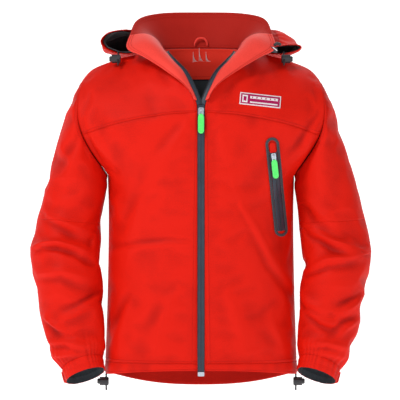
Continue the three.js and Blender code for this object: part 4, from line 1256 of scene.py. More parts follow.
@dataclass(frozen=True)
class RepeatAlong:
    """Small pieces repeated along paths by Geometry Nodes: stitches, zip teeth."""

    pitch: float
    length: float
    width: float
    sides: int = 6
    upright: bool = False

    def tree(self) -> bpy.types.GeometryNodeTree:
        """Builds the node tree, with its sizes as named inputs.

        Returns:
            The node tree.
        """
        tree = bpy.data.node_groups.new("repeat_along_path", "GeometryNodeTree")
        face = tree.interface
        face.new_socket("Geometry", in_out="INPUT", socket_type="NodeSocketGeometry")
        for name in ("Pitch", "Length", "Width"):
            face.new_socket(name, in_out="INPUT", socket_type="NodeSocketFloat")
        face.new_socket("Finish", in_out="INPUT", socket_type="NodeSocketMaterial")
        face.new_socket("Geometry", in_out="OUTPUT", socket_type="NodeSocketGeometry")
        make, link = tree.nodes.new, tree.links.new
        given, result = make("NodeGroupInput"), make("NodeGroupOutput")
        curve, even = make("GeometryNodeMeshToCurve"), make("GeometryNodeResampleCurve")
        even.mode = "LENGTH"
        link(given.outputs["Geometry"], curve.inputs["Mesh"])
        link(curve.outputs["Curve"], even.inputs["Curve"])
        link(given.outputs["Pitch"], even.inputs["Length"])
        bead = make("GeometryNodeMeshCylinder")
        bead.inputs["Vertices"].default_value = self.sides
        link(given.outputs["Width"], bead.inputs["Radius"])
        link(given.outputs["Length"], bead.inputs["Depth"])
        turn, tangent = make("FunctionNodeAlignRotationToVector"), make("GeometryNodeInputTangent")
        turn.axis = "X" if self.upright else "Z"
        link(tangent.outputs["Tangent"], turn.inputs["Vector"])
        place = make("GeometryNodeInstanceOnPoints")
        link(even.outputs["Curve"], place.inputs["Points"])
        link(bead.outputs["Mesh"], place.inputs["Instance"])
        link(turn.outputs["Rotation"], place.inputs["Rotation"])
        solid, finish = make("GeometryNodeRealizeInstances"), make("GeometryNodeSetMaterial")
        link(place.outputs["Instances"], solid.inputs["Geometry"])
        link(solid.outputs["Geometry"], finish.inputs["Geometry"])
        link(given.outputs["Finish"], finish.inputs["Material"])
        link(finish.outputs["Geometry"], result.inputs["Geometry"])
        return tree

    def build(self, name: str, paths: Sequence[np.ndarray], finish: Finish) -> bpy.types.Object:
        """Makes the repeated pieces along every path.

        Args:
            name: The new object's name.
            paths: Points of each path, in millimetres.
            finish: The finish of the pieces.

        Returns:
            One plain mesh object.
        """
        vertices = np.vstack(paths) * MM
        edges, start = [], 0
        for path in paths:
            edges += [(start + k, start + k + 1) for k in range(len(path) - 1)]
            start += len(path)
        mesh = bpy.data.meshes.new(name + "_path")
        mesh.from_pydata(vertices.tolist(), edges, [])
        source = bpy.data.objects.new(name + "_path", mesh)
        bpy.context.scene.collection.objects.link(source)
        tree = self.tree()
        modifier = source.modifiers.new("repeat", "NODES")
        modifier.node_group = tree
        sizes = {"Pitch": self.pitch * MM, "Length": self.length * MM, "Width": self.width * MM / 2}
        for item in tree.interface.items_tree:
            if item.in_out == "INPUT" and item.name in sizes:
                modifier[item.identifier] = sizes[item.name]
            elif item.in_out == "INPUT" and item.name == "Finish":
                modifier[item.identifier] = finish.material()
        evaluated = source.evaluated_get(bpy.context.evaluated_depsgraph_get())
        plain = bpy.data.meshes.new_from_object(evaluated)
        bpy.data.objects.remove(source)
        plain.polygons.foreach_set("use_smooth", [True] * len(plain.polygons))
        made = bpy.data.objects.new(name, plain)
        bpy.context.scene.collection.objects.link(made)
        plain.polygons.foreach_set("material_index", [0] * len(plain.polygons))
        plain.materials.clear()
        plain.materials.append(finish.material())
        return made


STITCH = RepeatAlong(pitch=3.4, length=2.5, width=0.6)


def seam_path(
    grid: Grid, row: Optional[int] = None, column: Optional[int] = None, lift: float = 0.35, closed: bool = False
) -> np.ndarray:
    """Returns a path just proud of a grid's row or column.

    Args:
        grid: The points.
        row: Row to follow, or None.
        column: Column to follow, or None.
        lift: How far the path stands off the cloth.
        closed: Whether the grid's columns join up.

    Returns:
        The path's points.
    """
    raised = grid + grid_normals(grid, closed) * lift
    if row is not None:
        line = raised[row]
        return np.vstack([line, line[:1]]) if closed else line
    return raised[:, column]


# ---- Torso --------------------------------------------------------------------------------------


def turned(grid: Grid) -> Grid:
    """Returns the grid with its columns reversed, which turns its face over."""
    return grid[:, ::-1]


def groove(rows: int, at: float, half: float, depth: float) -> np.ndarray:
    """Returns a row-wise dip at a seam, with a soft swell on each side."""
    d = (np.arange(rows) - at) / half
    return depth * (-np.exp(-(d**2) * 2) + 0.45 * np.exp(-((np.abs(d) - 1.6) ** 2) * 2))


@dataclass
class Torso:
    """Fronts, back and yokes, one settled sheet each, cut into their panels."""

    pattern: Pattern
    columns: int = 56
    body_rows: int = 120
    yoke_rows: int = 34
    back_columns: int = 110
    cloth: float = 1.3
    front_folds: dict[int, tuple[Fold, ...]] = field(default_factory=dict)
    back_folds: tuple[Fold, ...] = ()
    raw: dict[str, Grid] = field(default_factory=dict)
    before: dict[str, Grid] = field(default_factory=dict)

    def shapes(self) -> dict[str, Grid]:
        """Lays the folds into the three sheets, before they settle.

        Returns:
            The sheets by name.
        """
        front = self.pattern.front(self.columns, self.body_rows, self.yoke_rows)
        back = self.pattern.back(self.back_columns, self.body_rows, self.yoke_rows)
        sheets = {"front_left": front, "front_right": turned(mirrored(front)), "back": turned(back)}
        for key, grid in sheets.items():
            self.before[key] = grid
            folds = self.back_folds if key == "back" else self.front_folds[1 if key == "front_left" else -1]
            lift = sum((f.relief(grid[..., 0], grid[..., 2]) for f in folds), np.zeros(grid.shape[:2]))
            lift = lift + crumple(grid, 120.0, 1.6, 3.0 + len(key), False) + crumple(grid, 40.0, 0.35, 9.0 + len(key))
            self.raw[key] = grid + grid_normals(grid) * (lift * self.freedom(grid))[..., None]
        return self.raw

    def freedom(self, grid: Grid) -> np.ndarray:
        """Says how freely each point may move: not at all at the borders.

        Args:
            grid: A sheet's points.

        Returns:
            One weight per point.
        """
        rows, columns = grid.shape[:2]
        i = np.minimum(np.arange(rows), rows - 1 - np.arange(rows))[:, None]
        j = np.minimum(np.arange(columns), columns - 1 - np.arange(columns))[None]
        return smooth(i, 0, 6) * smooth(j, 0, 5)

    def _armhole_groove(self, grid: Grid, key: str) -> np.ndarray:
        """Draws the cloth in beside the armhole seam.

        Args:
            grid: A sheet's points.
            key: The sheet's name.

        Returns:
            How far each point is drawn in.
        """
        rows, columns = grid.shape[:2]
        j = np.arange(columns)
        side = {"front_left": columns - 1 - j, "front_right": j, "back": np.minimum(j, columns - 1 - j)}[key]
        above = smooth(np.arange(rows), self.body_rows * 0.58, self.body_rows * 0.64)
        return 1.6 * np.exp(-((side / 0.9) ** 2))[None] * above[:, None]

    def pins(self, key: str) -> np.ndarray:
        """Holds one sheet's borders, and its yoke seam a little.

        Args:
            key: The sheet's name.

        Returns:
            One pin weight per point.
        """
        rows, columns = self.raw[key].shape[:2]
        pins = held_edges(rows, columns)
        seam = self.body_rows
        pins[seam] = np.maximum(pins[seam], 0.12)
        return pins

    def build(self, settled: dict[str, Grid]) -> Made:
        """Makes the panels and their seams' stitching.

        Args:
            settled: The three sheets after simulation.

        Returns:
            Pieces with the CAD node each stands for.
        """
        made, paths = [], []
        for key, grid in settled.items():
            if key not in self.before:
                continue
            dip = groove(grid.shape[0], self.body_rows, 1.3, 0.8)[:, None]
            dip = dip * self.freedom(grid) - self._armhole_groove(grid, key)
            grid = grid + grid_normals(grid) * dip[..., None]
            settled[key] = grid
            # Painted shade in fold hollows and painted highlight on fold ridges.
            shade = painted_fold_shade(grid, self.before[key])
            cut = self.body_rows
            names = ("back_body", "back_yoke") if key == "back" else (f"front_body_{key[6:]}", f"front_yoke_{key[6:]}")
            for name, rows in zip(names, (np.s_[: cut + 1], np.s_[cut:])):
                called = name.replace("body", "panel").replace("yoke", "yoke_panel")
                item = ClothSheet(grid[rows], self.cloth, shade=shade[rows]).build(called)
                made.append((dress(item, Finish.SHELL), name))
            paths.append(seam_path(grid, row=cut + 1))
            if key == "back":
                paths += [seam_path(grid[:cut], column=c) for c in (3, -4)]
            else:
                paths.append(seam_path(grid, column=1 if key == "front_left" else -2))
            paths.append(seam_path(grid, row=1))
        made.append((STITCH.build("body_stitching", paths, Finish.THREAD), ""))
        return made


@dataclass
class HemBand:
    """The turned hem below the hem seam, with two rows of stitching."""

    pattern: Pattern
    cloth: float = 2.2
    rows: int = 12

    def build(self, settled: dict[str, Grid]) -> Made:
        """Makes the three bands from the sheets' lowest rows.

        Args:
            settled: The settled sheets of the torso.

        Returns:
            Pieces with the CAD node each stands for.
        """
        made, paths = [], []
        edges = {"front_left": self.pattern.front_hem_edge, "back": self.pattern.back_hem_edge}
        for key in ("front_left", "front_right", "back"):
            top = settled[key][0]
            s = np.linspace(0, 1, top.shape[0])
            low = edges["back" if key == "back" else "front_left"](s)
            if key == "front_right":
                low = turned(mirrored(low[None]))[0]
            elif key == "back":
                low = low[::-1]
            t = np.linspace(0, 1, self.rows)[:, None, None]
            grid = low[None] * (1 - t) + top[None] * t
            ripple = crumple(grid * np.array([1, 1, 0.25]), 26.0, 1.5, 5.0 + len(key), False)
            ripple = ripple + crumple(grid, 60.0, 1.2, 2.0, False)
            belly = 1.2 * np.sin(math.pi * t[:, 0, 0])[:, None]
            lift = (ripple * (1 - t[..., 0] ** 3)) * self._sides(top.shape[0]) + belly
            grid = grid + grid_normals(grid) * lift[..., None]
            name = "hem_band_back" if key == "back" else f"hem_band_front_{key[6:]}"
            # The hem's ripple is painted as shade in its hollows and as highlight on its rises.
            item = ClothSheet(grid, self.cloth, shade=ripple / 3).build(name.replace("hem_band", "hem_turning"))
            made.append((dress(item, Finish.SHELL), name))
            paths.append(seam_path(grid, row=self.rows - 2))
            paths.append(seam_path(grid, row=2))
        made.append((STITCH.build("hem_stitching", paths, Finish.THREAD), ""))
        return made

    @staticmethod
    def _sides(columns: int) -> np.ndarray:
        """Returns a weight that is nothing at both ends of a row."""
        j = np.minimum(np.arange(columns), columns - 1 - np.arange(columns))
        return smooth(j, 0, 6)[None]


@dataclass
class Lining:
    """Mesh lining of fronts and back, and the red facing inside the back yoke."""

    torso: Torso
    cloth: float = 0.9
    near: float = 2.4
    far: float = 7.4
    facing_share: float = 0.36

    def build(self) -> Made:
        """Makes the lining behind the unsettled sheets.

        Returns:
            Pieces with the CAD node each stands for.
        """
        made = []
        for key, grid in self.torso.before.items():
            weight = self.torso.freedom(grid)
            depth = self.near + (self.far - self.near) * weight
            inner = grid - grid_normals(grid) * depth[..., None]
            inner = inner - grid_normals(inner) * (crumple(inner, 70.0, 1.4, 4.0, False) * weight)[..., None]
            if key != "back":
                item = ClothSheet(inner, self.cloth).build(f"mesh_lining_{key}")
                made.append((dress(item, Finish.LINING), f"lining_{key}"))
                continue
            split = self.torso.body_rows + int(self.torso.yoke_rows * (1 - self.facing_share))
            low = ClothSheet(inner, self.cloth).build("mesh_lining_back")
            made.append((dress(low, Finish.LINING), "lining_back"))
            facing = self._facing(inner, split)
            top = ClothSheet(facing, self.cloth).build("half_moon_facing")
            # The facing is dressed in the brightened copy of the facing cloth: painted light.
            made.append((dress(top, Finish.INNER), "inner_yoke_facing"))
            path = seam_path(facing, row=3, lift=-self.cloth - 0.35)
            made.append((STITCH.build("facing_stitching", [path], Finish.THREAD), ""))
        return made

    def _facing(self, inner: Grid, split: int) -> Grid:
        """Lays the facing just inside the lining's upper part, with a curved lower edge.

        Args:
            inner: The lining's points.
            split: The row of its lowest place.

        Returns:
            The facing's points.
        """
        rows, columns = inner.shape[:2]
        s = np.linspace(-1, 1, columns)
        low = split + (rows - 1 - split) * 0.75 * np.abs(s * 2.1) ** 2.6
        low = np.minimum(low, rows - 3)
        place = low[None] + (rows - 1 - low)[None] * np.linspace(0, 1, 30)[:, None]
        k = np.minimum(place.astype(int), rows - 2)
        w = (place - k)[..., None]
        j = np.arange(columns)[None]
        part = inner[k, j] * (1 - w) + inner[k + 1, j] * w
        return part - grid_normals(part) * 1.5


# ---- Sleeves ------------------------------------------------------------------------------------


class SleevePart(Enum):
    """The parts of a sleeve, which move in different ways."""

    UPPER = "upper sleeve, bends at the shoulder"
    LOWER = "lower sleeve, bends at the elbow"
    CUFF = "cuff, rides on the forearm"
    SEAM = "armhole seam, stays with the shell"


@dataclass
class Sleeve:
    """One sleeve with its gathered elastic cuff, mirrored for the right."""

    pattern: SleevePattern
    sign: int
    folds: tuple[Fold, ...]
    back_folds: tuple[Fold, ...]
    sides: int = 108
    stations: int = 230
    split: float = 0.45
    cloth: float = 1.3
    cuff_rows: int = 26
    before: Optional[Grid] = None

    @property
    def side(self) -> str:
        """Returns the wearer's side that the sleeve is on."""
        return "left" if self.sign > 0 else "right"

    def shape(self) -> Grid:
        """Lays the folds into the sleeve's sheet, before it settles.

        Returns:
            The sheet.
        """
        v = np.linspace(0, 1, self.stations)
        grid = self._sided(self.pattern.rings(v, self.sides))
        self.before = grid
        normals = grid_normals(grid, True)
        angle = self._angles()
        front = np.clip(np.sin(angle) * 1.6, 0, 1)
        back = np.clip(-np.sin(angle) * 1.6, 0, 1)
        x, z = grid[..., 0], grid[..., 2]
        lift = sum((f.relief(x, z) for f in self.folds), np.zeros(x.shape)) * front[None]
        lift = lift + sum((f.relief(x, z) for f in self.back_folds), np.zeros(x.shape)) * back[None]
        seed = 21.0 + self.sign
        lift = lift + crumple(grid * np.array([1, 1, 1.35]), 85.0, 3.0, seed) + crumple(grid, 30.0, 0.5, seed + 7)
        near = smooth(v, 0, 0.06)[:, None]
        inner_side = np.clip(-np.cos(angle), 0, 1)
        lift = np.where(lift > 0, lift * (1 - 0.75 * inner_side[None]), lift)
        gathers = self._gathers(angle)[None] * smooth(v, 0.88, 1.0)[:, None] * 1.3
        swell = 7.0 * np.exp(-(((v - 0.955) / 0.03) ** 2))[:, None]
        swell = swell - 1.6 * np.exp(-((v / 0.006) ** 2))[:, None] - 1.4 * np.exp(-(((1 - v) / 0.006) ** 2))[:, None]
        along = (smooth(v, 0.05, 0.2) * (1 - smooth(v, 0.9, 1)))[:, None]
        swell = swell + 6.5 * (inner_side[None] ** 2) * along * self._snug(z)
        lift = lift * near * (1 - 0.8 * smooth(v, 0.95, 1)[:, None]) + gathers + swell * (1 - 0.5 * inner_side[None])
        return grid + normals * lift[..., None]

    def _sided(self, rings: Grid) -> Grid:
        """Returns the rings on this sleeve's side, facing out."""
        return rings if self.sign > 0 else turned(mirrored(rings))

    def _snug(self, z: np.ndarray) -> np.ndarray:
        """Returns where the sleeve lies against the body: all along but at its open gaps."""
        gaps = ((-605.0, 38.0), (-415.0, 14.0)) if self.sign > 0 else ((-305.0, 42.0),)
        return np.clip(1 - sum(np.exp(-(((z - at) / half) ** 2)) for at, half in gaps), 0, 1)

    def _angles(self) -> np.ndarray:
        """Returns each column's angle: 0 outside, a quarter turn in front."""
        angle = np.arange(self.sides) * 2 * math.pi / self.sides
        return angle if self.sign > 0 else angle[::-1]

    def _gathers(self, angle: np.ndarray) -> np.ndarray:
        """Returns the small uneven pleats that the elastic draws up."""
        drift = 0.9 * np.sin(3 * angle + self.sign) + 0.6 * np.sin(5 * angle + 2)
        return np.cos(21 * angle + 3.4 * drift) * (0.6 + 0.4 * np.sin(4 * angle))

    def pins(self) -> np.ndarray:
        """Holds both ends of the sleeve.

        Returns:
            One pin weight per point.
        """
        pins = np.zeros((self.stations, self.sides))
        v = np.linspace(0, 1, self.stations)
        pins[:] = np.maximum(1 - smooth(v, 0, 0.03), smooth(v, 0.975, 1.0))[:, None]
        pins[0] = pins[-1] = 1
        return np.where(pins < 0.02, 0, pins)

    def build(self, settled: Grid) -> list[tuple[bpy.types.Object, SleevePart]]:
        """Makes the upper and lower sleeve and the cuff.

        Args:
            settled: The sleeve's sheet after simulation.

        Returns:
            Pieces, each with the part that it is.
        """
        # Painted shade in fold hollows and painted highlight on fold ridges.
        shade = painted_fold_shade(settled, self.before)
        normals = grid_normals(settled, True)
        back = settled - normals * self.cloth
        cut = int(self.split * (self.stations - 1))
        upper = ClothSheet(settled[: cut + 1], self.cloth, True, shade[: cut + 1], back[: cut + 1], Finish.LINING)
        lower = ClothSheet(settled[cut:], self.cloth, True, shade[cut:], back[cut:], Finish.LINING)
        made = [
            (dress(upper.build(f"upper_sleeve_{self.side}"), Finish.SHELL), SleevePart.UPPER),
            (dress(lower.build(f"lower_sleeve_{self.side}"), Finish.SHELL), SleevePart.LOWER),
            (dress(self._cuff(settled[-1]), Finish.SHELL), SleevePart.CUFF),
        ]
        paths = [seam_path(settled, row=r, closed=True) for r in (3, 7)]
        made.append((STITCH.build(f"armhole_stitching_{self.side}", paths, Finish.THREAD), SleevePart.SEAM))
        return made

    def _cuff(self, end: np.ndarray) -> bpy.types.Object:
        """Makes the elastic cuff: a gathered tube drawn in by two rows of stitching.

        Args:
            end: The sleeve's last ring.

        Returns:
            The mesh object.
        """
        axis = self.pattern.cuff_axis() * np.array([self.sign, 1, 1])
        angle = self._angles()
        t = np.linspace(0, 1, self.cuff_rows)[:, None]
        base = self._sided(self.pattern.rings(np.array([1.0]), self.sides))[0]
        centre = base.mean(axis=0)
        out = unit(base - centre)
        draw = -1.6 * t + 0.9 * np.abs(np.sin(2 * math.pi * t)) - 0.4
        pleats = self._gathers(angle)[None] * (0.8 + 0.3 * np.sin(2 * math.pi * t))
        grid = base[None] + axis * (self.pattern.cuff_height * t)[..., None] + out[None] * (draw + pleats)[..., None]
        blend = (1 - smooth(t, 0, 0.18))[..., None]
        grid = grid * (1 - blend) + (end[None] + axis * (self.pattern.cuff_height * t)[..., None]) * blend
        # Painted shade between the gathers and painted highlight on their crests.
        shade = np.clip(pleats / 2.2, -1, 1) * 0.8
        return ClothSheet(grid, 1.5, True, shade, inside=Finish.LINING).build(f"gathered_cuff_{self.side}")


@dataclass(frozen=True)
class CuffTab:
    """The adjusting tab that wraps the outside of a cuff."""

    pattern: SleevePattern
    sign: int
    length: float = 62.0
    width: float = 24.0
    start: float = math.pi * 1.92
    cloth: float = 1.9

    def build(self) -> tuple[bpy.types.Object, bpy.types.Object]:
        """Makes the tab and its stitching.

        Returns:
            The tab, and its stitching.
        """
        p = self.pattern
        centre, half, fore, _ = (a[0] for a in p.frames(np.array([1.0])))
        radius = (np.linalg.norm(half) + p.cuff_depth) / 2
        angles = self.start - (self.length / radius) * np.linspace(0, 1, 40)
        t = np.linspace(0, 1, 16)
        axis = p.cuff_axis()
        arm = half[None] * np.cos(angles)[:, None] + fore[None] * np.sin(angles)[:, None]
        reach = np.linalg.norm(arm, axis=1, keepdims=True)
        arm = arm * (reach + 3.1 + 0.9) / reach
        taper = 1 - 0.28 * smooth(np.linspace(0, 1, 40), 0.7, 1.0)
        across = (t[:, None] - 0.5) * self.width * 0.96 * taper[None]
        grid = (centre + arm)[None] + axis * (p.cuff_height * 0.86 - self.width * 0.48 - across)[..., None]
        if self.sign < 0:
            grid = mirrored(grid)
        middle = centre * np.array([self.sign, 1, 1])
        outwards = unit(grid - middle)
        grid = grid + outwards * (0.5 * np.sin(math.pi * t))[:, None, None]
        if (grid_normals(grid) * outwards).sum() < 0:
            grid = turned(grid)
        side = "left" if self.sign > 0 else "right"
        tab = dress(ClothSheet(grid, self.cloth).build(f"wrist_tab_{side}"), Finish.FACING)
        inner = grid[2:-2, 2:-2]
        raised = inner + grid_normals(inner) * 0.3
        border = np.vstack([raised[0], raised[:, -1], raised[-1, ::-1], raised[::-1, 0]])
        return tab, STITCH.build(f"wrist_tab_stitching_{side}", [border], Finish.THREAD)


# ---- Collar and hood ----------------------------------------------------------------------------


@dataclass
class Collar:
    """Stand collar that falls open into lapels, with a rolled line and top-stitched edge."""

    pattern: Pattern
    tip: tuple[float, float, float] = (160.0, -62.0, 58.0)
    top_z: float = 143.0
    top_back: float = 112.0
    columns: int = 150
    rows: int = 30
    cloth: float = 2.4
    start: float = 0.02
    join: float = 0.62
    roll: float = 20.0
    rise: float = 6.0

    def seam(self) -> Spline:
        """Lays out the collar seam, from the slider to the centre back.

        Returns:
            The curve.
        """
        p = self.pattern
        n, c, b, z = p.neck_half, p.chest, p.neck_back, p.neck_back_z
        front = ((p.edge_x + 1, -c - 3, p.yoke_front_z + 20), (n * 0.24, 4 - c, -34.0), (n * 0.46, 23 - c, 4.0))
        side = ((n * 0.74, -c * 0.6 - 4, 31.0), (n * 0.96, -c * 0.3 - 2, 52.0), (n + 1, 5.0, p.neck_side_z + 3))
        back = ((n * 0.94, b * 0.48, mix(z, p.neck_side_z, 0.6) + 1), (n * 0.55, b * 0.86, z - 0.9), (0.0, b, z + 0.1))
        return Spline((*front, *side, *back))

    def edge(self) -> Spline:
        """Lays out the collar's free edge.

        Returns:
            The curve.
        """
        p, (x, y, z) = self.pattern, self.tip
        c = p.chest
        front = ((p.edge_x + 4, -c - 5, p.yoke_front_z + 22), (x * 0.2, -c - 2, -28.0), (x * 0.5, 26 - c, 10.0))
        side = ((x * 0.8, 52 - c, 40.0), (x, y, z), (x - 4, -18.0, 90.0), (x - 18, 34.0, 124.0))
        back = ((x * 0.6, self.top_back * 0.74, self.top_z - 4), (0.0, self.top_back, self.top_z))
        return Spline((*front, *side, *back))

    def half(self, sign: int) -> Grid:
        """Returns one half of the collar, from the slider to the centre back.

        Args:
            sign: 1 for the left half, -1 for the right.

        Returns:
            The grid of its outer face.
        """
        u = np.linspace(self.start, 1, self.columns)
        w = np.linspace(0, 1, self.rows)[:, None]
        seam, edge = (self._through_centre(line, u)[None] for line in (self.seam(), self.edge()))
        grid = seam * (1 - w[..., None]) + edge * w[..., None]
        belly = np.sin(math.pi * w) * (np.sin(math.pi * u) * smooth(1 - u, 0, 0.3))[None]
        grid = grid + np.array([0, -1, 0.6]) * (7 * belly)[..., None]
        stand = np.exp(-(((u - 0.53) / 0.16) ** 2))[None] * np.sin(math.pi * w**0.62) ** 1.2
        grid = grid + np.array([0.08, -0.42, 0.9]) * (self.roll * stand)[..., None]
        wave = 2.2 * np.sin(9 * u + 1.3 * sign)[None] * np.sin(math.pi * u)[None] * w**1.5
        rough = crumple(grid * np.array([1, sign * 1.0, 1]), 48.0, 1.6, 31.0 + sign, False)
        free = smooth(u, 0.05, 0.2) * smooth(1 - u, 0.0, 0.2)
        grid = grid + np.array([0, -0.7, 0.7]) * ((wave + rough * np.sin(math.pi * w)) * free[None])[..., None]
        grid[..., 2] += self.rise * w * smooth(u, 0.5, 1.0)[None]
        return grid if sign > 0 else mirrored(grid)

    @staticmethod
    def _through_centre(line: Spline, u: np.ndarray) -> np.ndarray:
        """Runs a half line squarely through the centre back.

        Args:
            line: The half line.
            u: Places along it, 0 to 1.

        Returns:
            One point per place.
        """
        x, y, z = line.points[-2]
        spans = len(line.points)
        return Spline((*line.points, (-x, y, z))).at(u * (spans - 1) / spans)

    def build(self) -> Stands:
        """Makes lapels, the back stand and the edge stitching.

        Returns:
            Pieces with the CAD nodes each stands for.
        """
        u = np.linspace(self.start, 1, self.columns)
        cut = int(np.searchsorted(u, self.join))
        halves = {sign: self.half(sign) for sign in (1, -1)}
        mean = (halves[1][:, -1:] + mirrored(halves[-1][:, -1:])) / 2
        for sign in halves:
            halves[sign][:, -1:] = mean * np.array([0, 1, 1])
        made, paths = [], []
        for sign, side in ((1, "left"), (-1, "right")):
            part = halves[sign][:, : cut + 1]
            made.append((self._sheet(part if sign < 0 else turned(part), f"lapel_{side}"), (f"collar_front_{side}",)))
        back = np.concatenate([halves[-1][:, cut:], halves[1][:, cut:-1][:, ::-1]], axis=1)
        # The back stand wears the darker copy of the facing cloth: painted shade.
        made.append((dress(self._sheet(back, "collar_stand"), Finish.STAND_PAINTED_SHADE), ("collar_back",)))
        whole = np.concatenate([halves[-1], halves[1][:, :-1][:, ::-1]], axis=1)
        face = self._toward_neck(whole)
        for row in (-3, -5):
            paths.append(face[row, 4:-4])
        paths.append(face[2, 4:-4])
        made.append((STITCH.build("collar_stitching", paths, Finish.THREAD), ()))
        return made

    def _toward_neck(self, grid: Grid) -> Grid:
        """Moves the collar's grid to just above its showing face.

        Args:
            grid: The collar's points.

        Returns:
            The moved points.
        """
        normals = grid_normals(grid)
        flip = np.sign((normals * np.array([0, -1, 0.4])).sum(axis=-1, keepdims=True))
        return grid + normals * flip * (self.cloth + 0.35)

    def _sheet(self, grid: Grid, name: str) -> bpy.types.Object:
        """Makes one part of the collar in facing cloth.

        Args:
            grid: Its points.
            name: The object's name.

        Returns:
            The mesh object.
        """
        normals = grid_normals(grid)
        flip = np.sign((normals * np.array([0, -1, 0.4])).sum())
        if flip < 0:
            grid, normals = turned(grid), turned(-normals)
        front = grid + normals * self.cloth
        item = ClothSheet(front, self.cloth, back=grid).build(name)
        dress(item, Finish.FACING)
        return item


@dataclass
class Hood:
    """The hood, folded down behind the collar: shell outside, dark lining inside."""

    pattern: Pattern
    sweep: float = 1.62
    seat: float = 4.4
    half: float = 208.0
    back: float = 205.0
    rim_z: float = 104.0
    drop: float = 175.0
    columns: int = 200
    rows: int = 72
    cloth: float = 1.3
    hem_columns: int = 7
    before: Optional[Grid] = None

    def shape(self) -> Grid:
        """Lays the folds into the hood's sheet, before it settles.

        Returns:
            The sheet.
        """
        a = np.linspace(-self.sweep, self.sweep, self.columns)
        p = self.pattern
        sin, cos = np.sin(a), np.maximum(np.cos(a), 0)
        side = smooth(np.abs(a), 0.35, self.sweep)
        drop = mix(self.drop, 22, side**0.5)
        out = mix(self.back - p.neck_back, self.half - 140, side)
        rim_z = mix(self.rim_z + 12, self.rim_z, side)
        rim = np.stack([mix(148, 162, side) * sin, 150 * cos - 14 * side, rim_z], axis=-1)
        neck_y = (p.neck_back + self.seat) * cos - 22 * side
        neck = np.stack([150 * sin, neck_y, mix(p.neck_back_z + 10, 49, side)], axis=-1)
        push = np.stack([out * 1.25 * sin, out * 0.7 * cos, np.zeros_like(a)], axis=-1)
        upper, lower = rim + push, neck + push
        upper[:, 2] -= drop * 0.2
        lower[:, 2] += 20 * side - drop
        shut = smooth(a, 1.05, 1.62)
        rim = rim + shut[:, None] * np.array([-8.0, 0.0, -40.0])
        upper = upper + shut[:, None] * np.array([0.0, 0.0, -14.0])
        w = np.linspace(0, 1, self.rows)[:, None, None]
        grid = rim * (1 - w) ** 3 + 3 * upper * w * (1 - w) ** 2 + 3 * lower * w**2 * (1 - w) + neck * w**3
        if (grid_normals(grid)[self.rows // 2] * push).sum() < 0:
            grid = turned(grid)
            a = a[::-1]
        self.before = grid
        rows = np.linspace(0, 1, self.rows)[:, None]
        ridges = 5.0 * np.sin(7.0 * a + 5.0 * rows) * np.exp(-(((rows - 0.45) / 0.3) ** 2))
        lift = ridges + crumple(grid * np.array([1, 1, 1.8]), 75.0, 6.0, 41.0) + crumple(grid, 30.0, 1.4, 45.0)
        free = smooth(rows, 0, 0.12) * smooth(1 - rows, 0, 0.12) * smooth(self.sweep - np.abs(a), 0, 0.25)[None]
        return grid + grid_normals(grid) * (lift * free)[..., None]

    def build(self, settled: Grid) -> Made:
        """Makes the shell, its lining and the rim's stitching.

        Args:
            settled: The hood's sheet after simulation.

        Returns:
            Pieces with the CAD node each stands for.
        """
        # Painted shade in fold hollows and painted highlight on fold ridges.
        shade = painted_fold_shade(settled, self.before)
        normals = grid_normals(settled)
        shell = dress(ClothSheet(settled, self.cloth, shade=shade).build("folded_hood"), Finish.SHELL)
        inner = (settled - normals * 3.4)[3:-2, self.hem_columns : -self.hem_columns]
        lining = dress(ClothSheet(inner, 0.9).build("folded_hood_lining"), Finish.LINING)
        paths = [seam_path(settled, row=r)[3:-3] for r in (2, 5, -3)]
        paths += [seam_path(settled, column=c)[3:-3] for c in (int(self.columns * 0.36), int(self.columns * 0.64))]
        thread = STITCH.build("hood_stitching", paths, Finish.THREAD)
        return [(shell, "hood_shell"), (lining, "hood_lining"), (thread, "")]


# ---- Zips ---------------------------------------------------------------------------------------


def centre_of(node: str) -> np.ndarray:
    """Returns the middle of a CAD node's box, in millimetres."""
    low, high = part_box(node)
    return (np.array(low) + np.array(high)) / 2 / MM


def strip(line: np.ndarray, across: np.ndarray, out: np.ndarray, half: float, rise: Seam, cells: int = 14) -> Grid:
    """Returns a strip of tape along a line.

    Args:
        line: Points along its middle.
        across: Direction across at each point.
        out: Direction off the cloth at each point.
        half: Half its width.
        rise: Height of its face at each place across, from -1 to 1.
        cells: Cells across.

    Returns:
        The strip's grid.
    """
    s = np.linspace(-1, 1, cells + 1)
    return line[:, None] + across[:, None] * (half * s)[None, :, None] + out[:, None] * rise(s)[None, :, None]


def crowned(s: np.ndarray, height: float) -> np.ndarray:
    """Returns the height of a tape that is thickest in its middle."""
    return height * (1 - s**4)


